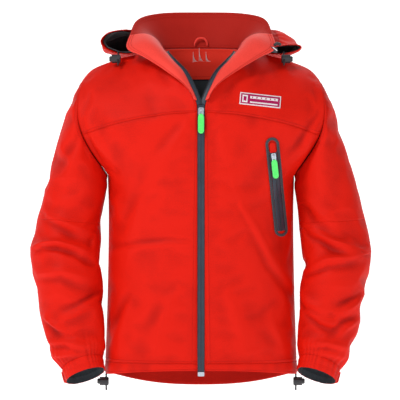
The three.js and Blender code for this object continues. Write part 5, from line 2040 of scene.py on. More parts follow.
@dataclass
class FrontZip:
    """The coated front zip's closed tapes, open tapes and hidden coil; its slider, pull and end box are made outside
    this class.
    """

    pattern: Pattern
    tape_front: float = -142.2
    top: float = -66.0
    bottom: float = -640.0

    def build(self) -> Stands:
        """Makes the tapes, their teeth and stitching.

        Returns:
            Pieces with the CAD nodes each stands for.
        """
        made: Stands = []
        z = np.linspace(self.top, self.bottom, 240)
        paths = []
        for sign, side in ((1, "left"), (-1, "right")):
            middle = np.stack([np.full_like(z, sign * 3.9), np.full_like(z, self.tape_front + 0.5), z], axis=-1)
            across, out = np.tile([1.0, 0, 0], (len(z), 1)), np.tile([0, -1.0, 0], (len(z), 1))
            grid = strip(middle, across, out, 3.6, partial(self._lipped, sign=sign))
            item = self._tape(grid, f"coated_tape_{side}")
            made.append((item, (f"zip_tape_{side}",)))
            paths.append(np.stack([np.full_like(z, sign * 6.4), np.full_like(z, self.tape_front - 0.3), z], axis=-1))
            made.append((self._open_tape(sign, side), (f"zip_tape_open_{side}",)))
        teeth = RepeatAlong(pitch=1.9, length=5.6, width=1.5, sides=8, upright=True)
        coil = np.stack([np.zeros_like(z), np.full_like(z, self.tape_front + 3.0), z], axis=-1)
        made.append((teeth.build("front_zip_coil", [coil], Finish.EDGE), ("zip_chain",)))
        made.append((STITCH.build("zip_stitching", paths, Finish.EDGE), ()))
        return made

    @staticmethod
    def _lipped(s: np.ndarray, sign: int) -> np.ndarray:
        """Returns the height of a coated tape across its width, with a lip at the middle of the zip."""
        return 0.55 * (1 - np.abs(s) ** 6) + 0.25 * (sign * s < -0.75)

    def _tape(self, grid: Grid, name: str) -> bpy.types.Object:
        """Returns a tape sheet that faces away from the cloth."""
        if (grid_normals(grid)[:, :, 1]).sum() > 0:
            grid = turned(grid)
        return dress(ClothSheet(grid, 0.9).build(name), Finish.TAPE)

    def _open_tape(self, sign: int, side: str) -> bpy.types.Object:
        """Makes the parted zip half along the open front, with its coil.

        Args:
            sign: 1 for the left half, -1 for the right.
            side: The word for that side.

        Returns:
            The mesh object.
        """
        t = np.linspace(0.14, 0.9, 120)
        line = self.pattern.open_front().at(t) * np.array([sign, 1, 1])
        tangent = unit(np.gradient(line, axis=0))
        front = np.array([0, -0.75, 0.66])
        across = unit(np.cross(tangent, front)) * sign
        out = unit(np.cross(across, tangent)) * sign
        out = out * np.sign((out * front).sum(axis=1, keepdims=True))
        middle = line - across * (6.0 * np.sign((across[:, 0] * sign).mean())) + out * 2.0
        grid = strip(middle, across, out, 5.2, partial(crowned, height=0.4))
        item = self._tape(grid, f"parted_tape_{side}")
        teeth = RepeatAlong(pitch=1.9, length=1.2, width=2.4, sides=7)
        inner_edge = middle - across * (4.6 * np.sign((across[:, 0] * sign).mean())) + out * 1.0
        coil = teeth.build(f"parted_coil_{side}", [inner_edge], Finish.EDGE)
        return joined(f"parted_zip_{side}", [item, coil])


@dataclass(frozen=True)
class PullTab:
    """A moulded pull: rounded bar with a sunk middle, cross ribs and a thick neck."""

    length: float
    width: float
    thick: float
    stations: int = 70
    sides: int = 40

    def build(self, name: str, centre: np.ndarray, down: np.ndarray, across: np.ndarray) -> bpy.types.Object:
        """Makes the pull in its place.

        Args:
            name: The object's name.
            centre: Its middle.
            down: Direction of its length.
            across: Direction of its width.

        Returns:
            The mesh object.
        """
        out = unit(np.cross(down, across))
        t = np.linspace(0, 1, self.stations)
        end = np.minimum(t, 1 - t) * self.length
        radius = self.width / 2
        round_off = np.where(end < radius, np.sqrt(np.maximum(1 - ((radius - end) / radius) ** 2, 0.0)), 1.0)
        half = radius * np.maximum(round_off, 0.04) * (1 - 0.10 * smooth(1 - t, 0.72, 1.0))
        angle = np.arange(self.sides) * 2 * math.pi / self.sides
        cos, sin = np.cos(angle), np.sin(angle)
        c = np.sign(cos) * np.abs(cos) ** 0.55
        s = np.sign(sin) * np.abs(sin) ** 0.55
        thick = self.thick / 2 * np.maximum(round_off, 0.25)
        ribs = 0.22 * np.cos(2 * math.pi * t * self.length / 3.4) * smooth(t, 0.22, 0.3) * (1 - smooth(t, 0.82, 0.9))
        sunk = 0.5 * smooth(t, 0.14, 0.2) * (1 - smooth(t, 0.88, 0.94))
        inner = np.clip(1 - (np.abs(c) / 0.72) ** 6, 0, 1)
        cut = (sunk[:, None] - ribs[:, None]) * inner[None] / np.maximum(self.thick / 2, 1) * 0.8
        face = thick[:, None] * s[None] * (1 - cut)
        place = centre + down * ((t - 0.5) * self.length)[:, None]
        grid = place[:, None] + across * (half[:, None] * c[None])[..., None] + out * face[..., None]
        if (grid_normals(grid, True) * (grid - place[:, None])).sum() < 0:
            grid = turned(grid)
        return self._solid(grid, name)

    def _solid(self, grid: Grid, name: str) -> bpy.types.Object:
        """Closes a tube of rings at both ends.

        Args:
            grid: The rings.
            name: The object's name.

        Returns:
            The mesh object.
        """
        rows, columns = grid.shape[:2]
        vertices = np.vstack([grid.reshape(-1, 3), grid[0].mean(axis=0), grid[-1].mean(axis=0)])
        faces = quads(rows, columns, True).tolist()
        for j in range(columns):
            k = (j + 1) % columns
            faces.append((k, j, rows * columns))
            faces.append(((rows - 1) * columns + j, (rows - 1) * columns + k, rows * columns + 1))
        return dress(new_object(name, vertices, faces), Finish.GREEN)


@dataclass(frozen=True)
class ChestPocket:
    """Laminated pocket frame, its zip and its garage flap, laid on the settled chest."""

    top: Place = (152.0, -136.0)
    bottom: Place = (176.0, -350.0)
    width: float = 30.0
    border: float = 6.0
    garage_length: float = 22.0

    def build(self, chest: "Surface") -> Stands:
        """Makes the pocket's pieces.

        Args:
            chest: The left front that the pocket is bonded to.

        Returns:
            Pieces with the CAD nodes each stands for.
        """
        start, end = np.array(self.top), np.array(self.bottom)
        length = float(np.linalg.norm(end - start))
        down = (end - start) / length
        out = np.array([-down[1], down[0]])

        def place(d: np.ndarray, a: np.ndarray, proud: np.ndarray | float) -> np.ndarray:
            """Returns points on the chest at places down and across the pocket."""
            flat = start + d[..., None] * down + a[..., None] * out
            return chest.at(flat[..., 0], flat[..., 1], proud)

        made: Stands = []
        turn = self._outline(length)
        profile = [(0.0, 0.6), (0.0, 2.2), (0.8, 3.1), (2.0, 3.35), (4.4, 3.3), (5.6, 2.9), (6.0, 2.0), (6.0, 0.6)]
        rings = []
        for inset, proud in profile:
            d, a = turn(inset)
            rings.append(place(d, a, proud))
        grid = np.stack(rings)
        made.append((self._ring(grid), ("pocket_frame",)))
        d, a = turn(3.0)
        bond = place(d, a, 3.6)
        made.append((STITCH.build("pocket_stitching", [np.vstack([bond, bond[:1]])], Finish.EDGE), ()))
        half = self.width / 2 - self.border - 0.5
        garage_from = self.border + 0.5 + half * 0.5
        tape_from, tape_to = garage_from + self.garage_length, length - self.border - 0.5 - half * 0.7
        a = np.linspace(-1, 1, 15)
        d = np.linspace(garage_from, tape_from, 26)
        dd, aa = np.meshgrid(d, a, indexing="ij")
        rounded = ((garage_from + 6 - dd) / 6.2) ** 2 * (dd < garage_from + 6)
        narrowed = (half - 1.6) * np.minimum(1, np.sqrt(np.maximum(1 - rounded, 0.02)))
        flap = place(dd, aa * narrowed, 3.0 + 0.8 * (1 - aa**4))
        made.append((dress(self._facing_out(flap, 1.2, "garage_flap"), Finish.SHELL), ("pocket_garage",)))
        for sign in (-1, 1):
            d = np.linspace(tape_from - 3, tape_to, 90)
            dd, aa = np.meshgrid(d, np.linspace(0, 1, 9), indexing="ij")
            side = sign * (0.35 + aa * (half - 0.4))
            lane = place(dd, side, 1.5 + 0.7 * (1 - (2 * aa - 0.9) ** 4))
            tape = dress(self._facing_out(lane, 0.9, f"pocket_tape_{'left' if sign > 0 else 'right'}"), Finish.TAPE)
            made.append((tape, ("pocket_zip_tape",)))
        d = np.linspace(tape_from, tape_to, 90)
        teeth = RepeatAlong(pitch=1.7, length=4.4, width=1.3, sides=8, upright=True)
        made.append((teeth.build("pocket_coil", [place(d, np.zeros_like(d), 1.0)], Finish.EDGE), ()))
        return made

    def _outline(self, length: float) -> Callable[[float], tuple[np.ndarray, np.ndarray]]:
        """Returns a function that gives the rounded outline at an inset."""

        def at(inset: float) -> tuple[np.ndarray, np.ndarray]:
            """Runs round the outline.

            Args:
                inset: How far inside the pocket's edge.

            Returns:
                Places down the pocket, and places across it.
            """
            radius = self.width / 2 - inset
            angle = np.linspace(0, math.pi, 17)
            straight = np.linspace(0, 1, 60)[1:-1]
            low, high = self.width / 2, length - self.width / 2
            top = np.stack([low - radius * np.sin(angle), -radius * np.cos(angle)])
            right = np.stack([mix(low, high, straight), np.full_like(straight, radius)])
            foot = np.stack([high + radius * np.sin(angle), radius * np.cos(angle)])
            left = np.stack([mix(high, low, straight), np.full_like(straight, -radius)])
            d, a = np.concatenate([top, right, foot, left], axis=1)
            return d, a

        return at

    def _ring(self, grid: Grid) -> bpy.types.Object:
        """Joins the profile's rings into a closed frame.

        Args:
            grid: The rings.

        Returns:
            The mesh object.
        """
        count, around = grid.shape[:2]
        faces = quads(count + 1, around, True) % (count * around)
        item = new_object("bonded_pocket_frame", grid.reshape(-1, 3), faces.tolist())
        make_outward(item)
        return dress(item, Finish.LAMINATE)

    def _facing_out(self, grid: Grid, thickness: float, name: str) -> bpy.types.Object:
        """Returns a sheet that faces forward."""
        if grid_normals(grid)[..., 1].sum() > 0:
            grid = turned(grid)
        return ClothSheet(grid, thickness).build(name)


def make_outward(item: bpy.types.Object) -> None:
    """Turns every face of a closed mesh outwards.

    Args:
        item: The mesh object.
    """
    work = bmesh.new()
    work.from_mesh(item.data)
    bmesh.ops.remove_doubles(work, verts=work.verts, dist=1e-6)
    bmesh.ops.recalc_face_normals(work, faces=work.faces)
    work.to_mesh(item.data)
    work.free()


class Surface:
    """A settled sheet that other pieces are laid on."""

    far_front = -400.0

    def __init__(self, grid: Grid) -> None:
        """Builds the search tree for a sheet.

        Args:
            grid: The sheet's points.
        """
        rows, columns = grid.shape[:2]
        points = [Vector(p) for p in grid.reshape(-1, 3)]
        self.tree = BVHTree.FromPolygons(points, quads(rows, columns).tolist())

    def at(self, x: np.ndarray, z: np.ndarray, proud: np.ndarray | float) -> np.ndarray:
        """Returns points in front of the sheet.

        Args:
            x: Places across.
            z: Heights.
            proud: How far each point stands off the sheet.

        Returns:
            One point per place.
        """
        x, z = np.broadcast_arrays(np.asarray(x, float), np.asarray(z, float))
        lift = np.broadcast_to(proud, x.shape)
        out = np.zeros(x.shape + (3,))
        last = 0.0
        for k in np.ndindex(x.shape):
            hit = self.tree.ray_cast(Vector((x[k], self.far_front, z[k])), Vector((0, 1, 0)))[0]
            last = hit.y if hit is not None else last
            out[k] = (x[k], last - lift[k], z[k])
        return out


# ---- Badge, embroidery and small trim -----------------------------------------------------------


@dataclass(frozen=True)
class Badge:
    """A woven patch: pale border and bars on a magenta field, in a plain pattern."""

    centre: Place = (128.0, -55.0)
    size: Place = (89.0, 26.0)
    angle: float = 0.1

    def build(self, chest: Surface) -> list[bpy.types.Object]:
        """Makes the patch, its border and its pattern of bars.

        Args:
            chest: The front that it is sewn to.

        Returns:
            The pieces.
        """
        made = [dress(self._plate(chest, (-1, 1), (-1, 1), 0.3, 1.9, "badge_field", 60), Finish.PALE)]
        inner = (self.size[0] / 2 - 2.2) / (self.size[0] / 2)
        high = (self.size[1] / 2 - 2.2) / (self.size[1] / 2)
        ground = self._plate(chest, (-inner, inner), (-high, high), 1.6, 2.5, "badge_ground", 60)
        made.append(dress(ground, Finish.MAGENTA))
        bars = [(-0.88, -0.62, -0.62, 0.62), (-0.50, 0.86, 0.12, 0.52), (-0.50, 0.86, -0.62, -0.40)]
        for k, (a, b, c, d) in enumerate(bars):
            made.append(dress(self._plate(chest, (a, b), (c, d), 2.2, 3.0, f"badge_bar_{k}", 30), Finish.PALE))
        hollow = self._plate(chest, (-0.82, -0.68), (-0.36, 0.36), 2.6, 3.3, "badge_bar_hollow", 16)
        made.append(dress(hollow, Finish.MAGENTA))
        for k in range(6):
            a = -0.42 + k * 0.22
            notch = self._plate(chest, (a, a + 0.05), (0.2, 0.44), 2.6, 3.3, f"badge_notch_{k}", 6)
            made.append(dress(notch, Finish.MAGENTA))
        return made

    def _plate(
        self, chest: Surface, u: Place, v: Place, low: float, high: float, name: str, cells: int
    ) -> bpy.types.Object:
        """Lays a sheet on the chest between two shares of the badge's size.

        Args:
            chest: The front that it is sewn to.
            u: Where it starts and ends across.
            v: Where it starts and ends up.
            low: How proud its back is.
            high: How proud its face is.
            name: The object's name.
            cells: Points across.

        Returns:
            The mesh object.
        """
        uu, vv = np.meshgrid(np.linspace(*u, cells), np.linspace(*v, max(6, cells // 3)))
        dx, dz = uu * self.size[0] / 2, vv * self.size[1] / 2
        c, s = math.cos(self.angle), math.sin(self.angle)
        x, z = self.centre[0] + dx * c + dz * s, self.centre[1] - dx * s + dz * c
        base = chest.at(x, z, 0.0)
        base[..., 1] = self._fair(base[..., 1])
        grid = base + np.array([0, -1, 0]) * high
        if grid_normals(grid)[..., 1].sum() > 0:
            grid = turned(grid)
            base = turned(base)
        return ClothSheet(grid, high - low).build(name)

    @staticmethod
    def _fair(y: np.ndarray) -> np.ndarray:
        """Returns the depths smoothed, as a stiff patch bridges small creases."""
        for _ in range(6):
            y = y.copy()
            y[1:-1] = (y[:-2] + y[1:-1] * 2 + y[2:]) / 4
            y[:, 1:-1] = (y[:, :-2] + y[:, 1:-1] * 2 + y[:, 2:]) / 4
        return y


@dataclass(frozen=True)
class Emblem:
    """A generic stitched emblem inside the yoke: three plain sails over waves."""

    centre: Place = (1.0, 40.0)
    size: float = 46.0

    def paths(self, surface: Surface) -> list[np.ndarray]:
        """Returns the emblem's stitch runs laid on the facing.

        Args:
            surface: The facing that it is worked on.

        Returns:
            One path per run.
        """
        runs = []
        for k, (x, h, w) in enumerate(((-10.5, 15.0, 7.5), (0.0, 21.0, 9.0), (10.5, 15.0, 7.5))):
            for share in np.linspace(0, 1, 6):
                foot, head = x - w * 0.42 + w * share, x - w * 0.42 + w * share * 0.15
                runs.append([(foot, -1.0), (head, h * (1 - share) - 1.0)])
            runs.append([(x - w * 0.6, -2.2), (x + w * 0.62, -2.2)])
        wave = np.linspace(-17, 17, 30)
        for row in (-5.5, -8.5):
            runs.append([(x, row + 0.9 * math.sin(x * 0.9 + row)) for x in wave])
        paths = []
        for run in runs:
            p = np.array(run, float)
            t = np.linspace(0, len(p) - 1, max(2, 4 * len(p)))
            x = np.interp(t, np.arange(len(p)), p[:, 0]) * self.size / 34 + self.centre[0]
            z = np.interp(t, np.arange(len(p)), p[:, 1]) * self.size / 34 + self.centre[1]
            paths.append(surface.at(x, z, 0.5))
        return paths


@dataclass(frozen=True)
class RoundCord:
    """A round cord or loop swept along a path."""

    radius: float
    sides: int = 14
    flat: float = 1.0

    def build(self, name: str, path: np.ndarray, finish: Finish) -> bpy.types.Object:
        """Makes the cord with rounded ends.

        Args:
            name: The object's name.
            path: Points along its middle, in millimetres.
            finish: Its finish.

        Returns:
            The mesh object.
        """
        fine = Spline(tuple(map(tuple, path))).at(np.linspace(0, 1, max(24, len(path) * 10)))
        tangent = unit(np.gradient(fine, axis=0))
        side = unit(np.cross(tangent, np.array([0.13, 0.31, 0.94])))
        up = np.cross(side, tangent)
        angle = np.arange(self.sides) * 2 * math.pi / self.sides
        ends = np.minimum(np.arange(len(fine)), len(fine) - 1 - np.arange(len(fine)))
        radius = self.radius * np.sqrt(np.minimum(1, 0.35 + ends / 3.0))
        ring = side[:, None] * np.cos(angle)[None, :, None] + up[:, None] * np.sin(angle)[None, :, None] * self.flat
        grid = fine[:, None] + ring * radius[:, None, None]
        if (grid_normals(grid, True) * ring).sum() < 0:
            grid = turned(grid)
        rows, columns = grid.shape[:2]
        faces = quads(rows, columns, True).tolist()
        faces.append(tuple(range(columns))[::-1])
        faces.append(tuple((rows - 1) * columns + j for j in range(columns)))
        return dress(new_object(name, grid.reshape(-1, 3), faces), finish)


@dataclass(frozen=True)
class HoodTrim:
    """Small trim at the hood's end behind the left lapel: a strap, a cord end and a pale cord."""

    centre: tuple[float, float, float] = (153.0, -66.0, 57.0)
    strap: Place = (26.0, 12.0)

    def build(self) -> list[bpy.types.Object]:
        """Makes the three pieces.

        Returns:
            The pieces.
        """
        x, y, z = self.centre
        t = np.linspace(-1, 1, 24)
        line = np.stack([x + self.strap[0] / 2 * t, y + 2.5 * t**2, z - 2 * t], axis=-1)
        out = np.tile([0.0, -1.0, 0.15], (len(t), 1))
        across = np.tile([0.05, 0.15, 1.0], (len(t), 1))
        grid = strip(line, unit(across), unit(out), self.strap[1] / 2, partial(crowned, height=0.5), 10)
        if grid_normals(grid)[..., 1].sum() > 0:
            grid = turned(grid)
        strap = dress(ClothSheet(grid, 1.2).build("hood_strap"), Finish.LAMINATE)
        end = np.array([(x + 6, y + 4, z + 9), (x + 13, y + 1, z + 13), (x + 21, y + 3, z + 10)], float)
        pale = np.array([(x + 3, y - 1, z + 5), (x + 8, y - 2, z + 1), (x + 13, y - 1, z - 3)], float)
        return [
            strap,
            RoundCord(3.4).build("hood_cord_end", end, Finish.BLACK),
            RoundCord(1.1).build("hood_strap_cord", pale, Finish.PALE),
        ]


@dataclass(frozen=True)
class PocketBag:
    """The pocket's bag: two layers of mesh cloth sewn round their edge, behind the lining."""

    depth: float = 11.2
    width: float = 110.0
    pocket: ChestPocket = ChestPocket()

    def build(self, torso: Torso) -> list[bpy.types.Object]:
        """Makes the bag and its seam.

        Args:
            torso: The torso whose left front the bag hangs behind.

        Returns:
            The pieces.
        """
        start, end = np.array(self.pocket.top), np.array(self.pocket.bottom)
        down = unit(end - start)
        out = np.array([-down[1], down[0]])
        length = float(np.linalg.norm(end - start)) * 0.9
        across = np.linspace(-self.width, self.pocket.width / 2, 44)
        d, a = np.meshgrid(np.linspace(0, length, 60), across, indexing="ij")
        corner = 18.0 * np.abs((a + self.width) / (self.width + 15.0) - 0.5) ** 4 * 16
        d = d + corner * (0.5 - d / length)
        flat = start + d[..., None] * down + a[..., None] * out
        base = Surface(torso.before["front_left"]).at(flat[..., 0], flat[..., 1], 0.0)
        if grid_normals(base)[..., 1].sum() > 0:
            base = turned(base)
        normals = grid_normals(base)
        rows, columns = base.shape[:2]
        i = np.minimum(np.arange(rows), rows - 1 - np.arange(rows))[:, None]
        j = np.minimum(np.arange(columns), columns - 1 - np.arange(columns))[None]
        full = smooth(i, 2, 9) * smooth(j, 2, 9)
        puff = (1.4 + crumple(base, 34.0, 0.9, 51.0, False)) * full
        front = base - normals * self.depth
        back = front - normals * (1.3 + puff)[..., None]
        bag = dress(ClothSheet(front, back=back).build("sewn_pocket_bag"), Finish.LINING)
        seam = front - normals * 1.7
        border = np.vstack([seam[2, 2:-2], seam[2:-2, -3], seam[-3, -3:1:-1], seam[-3:1:-1, 2]])
        return [bag, STITCH.build("pocket_bag_stitching", [border], Finish.EDGE)]


def braided(node: bpy.types.Object, name: str) -> bpy.types.Object:
    """Returns a finely divided cord with crossing strands, laid along a CAD cord.

    Args:
        node: The CAD cord.
        name: The new object's name.

    Returns:
        The mesh object.
    """
    work = bmesh.new()
    work.from_mesh(node.data)
    bmesh.ops.remove_doubles(work, verts=work.verts, dist=1e-6)
    bmesh.ops.recalc_face_normals(work, faces=work.faces)
    bmesh.ops.subdivide_edges(work, edges=work.edges[:], cuts=3, use_grid_fill=True, smooth=0.6)
    work.normal_update()
    for vertex in work.verts:
        x, y, z = vertex.co / MM
        strands = math.sin((x + y + z) * 2.6) * math.sin((x - y + z) * 2.6)
        vertex.co += vertex.normal * (0.16 * strands * MM)
    mesh = bpy.data.meshes.new(name)
    work.to_mesh(mesh)
    work.free()
    mesh.polygons.foreach_set("use_smooth", [True] * len(mesh.polygons))
    item = bpy.data.objects.new(name, mesh)
    bpy.context.scene.collection.objects.link(item)
    return dress(item, Finish.CORD)


# ---- Studio -------------------------------------------------------------------------------------


@dataclass(frozen=True)
class Lamp:
    """A soft square light aimed at the jacket's middle."""

    name: str
    place: tuple[float, float, float]
    power: float
    size: float

    def build(self, aim: tuple[float, float, float]) -> None:
        """Adds the light.

        Args:
            aim: The point that it faces.
        """
        data = bpy.data.lights.new(self.name, "AREA")
        data.energy, data.size = self.power, self.size
        item = bpy.data.objects.new(self.name, data)
        item.location = self.place
        item.rotation_euler = (Vector(aim) - Vector(self.place)).to_track_quat("-Z", "Y").to_euler()
        bpy.context.scene.collection.objects.link(item)


@dataclass(frozen=True)
class Studio:
    """Pale floor, soft lights and the camera."""

    lamps: tuple[Lamp, ...] = (
        Lamp("key", (-1.9, -2.4, 2.2), 68.0, 0.9),
        Lamp("fill", (2.4, -2.6, 1.2), 11.0, 2.0),
        Lamp("low_fill", (0.2, -3.2, -0.9), 5.0, 2.0),
        Lamp("rim", (0.6, 2.2, 2.2), 30.0, 1.8),
    )
    aim: tuple[float, float, float] = (0.0, 0.0, -0.27)
    air_glow: float = 0.36
    floor_drop: float = 0.07
    floor_half: float = 11.0
    wall_start: float = 9.4
    wall_curve: float = 1.2
    wall_height: float = 9.0
    distance: float = 6.0
    view_width: float = 0.88
    eye: Place = (-0.0022, -0.2706)
    paper_glow: float = 0.62

    def build(self) -> None:
        """Makes the floor, backdrop, lights and camera."""
        self._floor()
        for lamp in self.lamps:
            lamp.build(self.aim)
        world = bpy.data.worlds.new("studio_air")
        world.use_nodes = True
        world.node_tree.nodes["Background"].inputs["Color"].default_value = (1.0, 1.0, 1.0, 1.0)
        world.node_tree.nodes["Background"].inputs["Strength"].default_value = self.air_glow
        bpy.context.scene.world = world
        bpy.context.scene.view_settings.view_transform = "Standard"
        camera = bpy.data.cameras.new("camera")
        camera.lens = 36.0 * self.distance / self.view_width
        camera.clip_end = 60
        eye = bpy.data.objects.new("camera", camera)
        eye.location = (self.eye[0], -self.distance, self.eye[1])
        eye.rotation_euler = (math.pi / 2, 0, 0)
        bpy.context.scene.collection.objects.link(eye)
        bpy.context.scene.camera = eye

    def _floor(self) -> None:
        """Makes the floor, which curves up into a wall behind the jacket."""
        low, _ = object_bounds()
        z, curve, half = low[2] - self.floor_drop, self.wall_curve, self.floor_half
        run = [(-half, z), (self.wall_start, z)]
        for angle in np.linspace(0.1, math.pi / 2, 14):
            run.append((self.wall_start + curve * math.sin(angle), z + curve - curve * math.cos(angle)))
        run.append((self.wall_start + curve, z + self.wall_height))
        points = [(side, y, h) for y, h in run for side in (-half, half)]
        faces = [(2 * k, 2 * k + 1, 2 * k + 3, 2 * k + 2) for k in range(len(run) - 1)]
        mesh = bpy.data.meshes.new("studio_floor")
        mesh.from_pydata(points, [], faces)
        mesh.polygons.foreach_set("use_smooth", [True] * len(mesh.polygons))
        floor = bpy.data.objects.new("studio_floor", mesh)
        bpy.context.scene.collection.objects.link(floor)
        floor.data.materials.append(self._paper())
        floor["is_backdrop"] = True

    def _paper(self) -> bpy.types.Material:
        """Makes the floor's pale paper finish.

        Returns:
            The material.
        """
        n = Nodes("studio_paper")
        grain = n.noise(n.coordinates(False), 9.0, 3.0)
        n.link(n.ramp(grain, [(0.3, (0.88, 0.88, 0.88)), (0.7, (0.92, 0.92, 0.92))]), n.shader.inputs["Base Color"])
        n.shader.inputs["Roughness"].default_value = 0.9
        n.shader.inputs["Emission Color"].default_value = (1.0, 1.0, 1.0, 1.0)
        n.shader.inputs["Emission Strength"].default_value = self.paper_glow
        return n.material


# ---- Putting it together ------------------------------------------------------------------------

LEFT_FRONT_FOLDS = (
    Fold(((262, -92), (227, -155), (195, -195)), 9.6, 11),
    Fold(((200, -140), (150, -250), (120, -300)), 4.0, 22),
    Fold(((86, -280), (118, -332), (155, -403), (205, -466)), 4.2, 9),
    Fold(((60, -470), (90, -560), (100, -620)), 4.0, 20),
    Fold(((150, -520), (172, -580), (180, -620)), 4.2, 15),
    Fold(((40, -110), (60, -200)), 2.9, 16),
)
RIGHT_FRONT_FOLDS = (
    Fold(((-27, -103), (-62, -160), (-92, -209)), 4.8, 14),
    Fold(((-246, -110), (-222, -150), (-192, -190)), 8.8, 10),
    Fold(((-131, -276), (-142, -320), (-153, -360)), 4.2, 16),
    Fold(((-15, -364), (-77, -365), (-134, -372), (-190, -386)), 3.5, 7, 1.0),
    Fold(((-60, -480), (-90, -560), (-96, -620)), 4.2, 18),
    Fold(((-160, -500), (-176, -560), (-180, -620)), 4.2, 14),
    Fold(((-190, -260), (-170, -330)), 3.5, 14),
)
BACK_FOLDS = (
    Fold(((-205, -180), (-150, -240), (-90, -290)), 6.5, 14),
    Fold(((205, -180), (150, -240), (90, -290)), 6.5, 14),
    Fold(((-190, -330), (-60, -350), (80, -345), (190, -330)), 5.2, 16),
    Fold(((-140, -420), (-100, -540), (-90, -620)), 5.2, 20),
    Fold(((130, -430), (110, -540), (90, -620)), 5.2, 20),
    Fold(((0, -180), (10, -300), (-6, -430)), 3.9, 24),
)


def mirrored_folds(folds: Sequence[Fold]) -> tuple[Fold, ...]:
    """Returns the folds on the other side of the centre plane."""
    return tuple(Fold(tuple((-x, z) for x, z in f.run), f.height, f.width, f.hollow) for f in folds)


RIGHT_SLEEVE_FOLDS = (
    Fold(((-330, -304), (-280, -326), (-230, -345)), 10.5, 12),
    Fold(((-230, -345), (-229, -391)), 6.0, 8),
    Fold(((-366, -376), (-343, -365), (-310, -363), (-270, -373), (-225, -394)), 12.0, 9),
    Fold(((-350, -430), (-300, -425), (-240, -440)), 9.0, 12),
    Fold(((-218, -480), (-255, -505), (-296, -526)), 10.5, 9),
    Fold(((-338, -523), (-315, -540), (-293, -554)), 9.0, 8),
    Fold(((-330, -580), (-290, -575), (-240, -590)), 9.0, 9),
    Fold(((-322, -606), (-280, -604), (-235, -612)), 7.5, 7),
    Fold(((-290, -60), (-300, -150), (-318, -240)), 4.5, 22),
    Fold(((-262, -150), (-285, -200), (-300, -260)), 6.0, 15),
)
LEFT_SLEEVE_FOLDS = (
    Fold(((262, -105), (250, -150), (232, -200)), 9.0, 10),
    Fold(((245, -338), (290, -360), (330, -374)), 11.2, 11),
    Fold(((217, -428), (270, -402), (340, -391)), 12.0, 10),
    Fold(((300, -120), (320, -220), (335, -300)), 4.5, 22),
    Fold(((230, -262), (262, -300), (300, -325)), 8.2, 13),
    Fold(((345, -484), (325, -500), (300, -517)), 9.0, 9),
    Fold(((208, -470), (236, -495), (270, -508)), 9.8, 9),
    Fold(((337, -531), (312, -548), (290, -568)), 9.0, 9),
    Fold(((230, -510), (262, -532), (296, -540)), 7.5, 8),
    Fold(((225, -585), (270, -578), (320, -588)), 9.0, 9),
    Fold(((228, -612), (270, -604), (312, -610)), 7.5, 7),
)
BACK_SLEEVE_FOLDS = (
    Fold(((225, -250), (262, -290), (310, -310)), 8.4, 14),
    Fold(((220, -400), (280, -385), (350, -400)), 7.0, 12),
    Fold(((225, -470), (270, -490), (330, -480)), 8.4, 12),
    Fold(((230, -540), (280, -560), (320, -550)), 7.0, 10),
    Fold(((230, -600), (270, -590), (310, -600)), 7.0, 8),
)


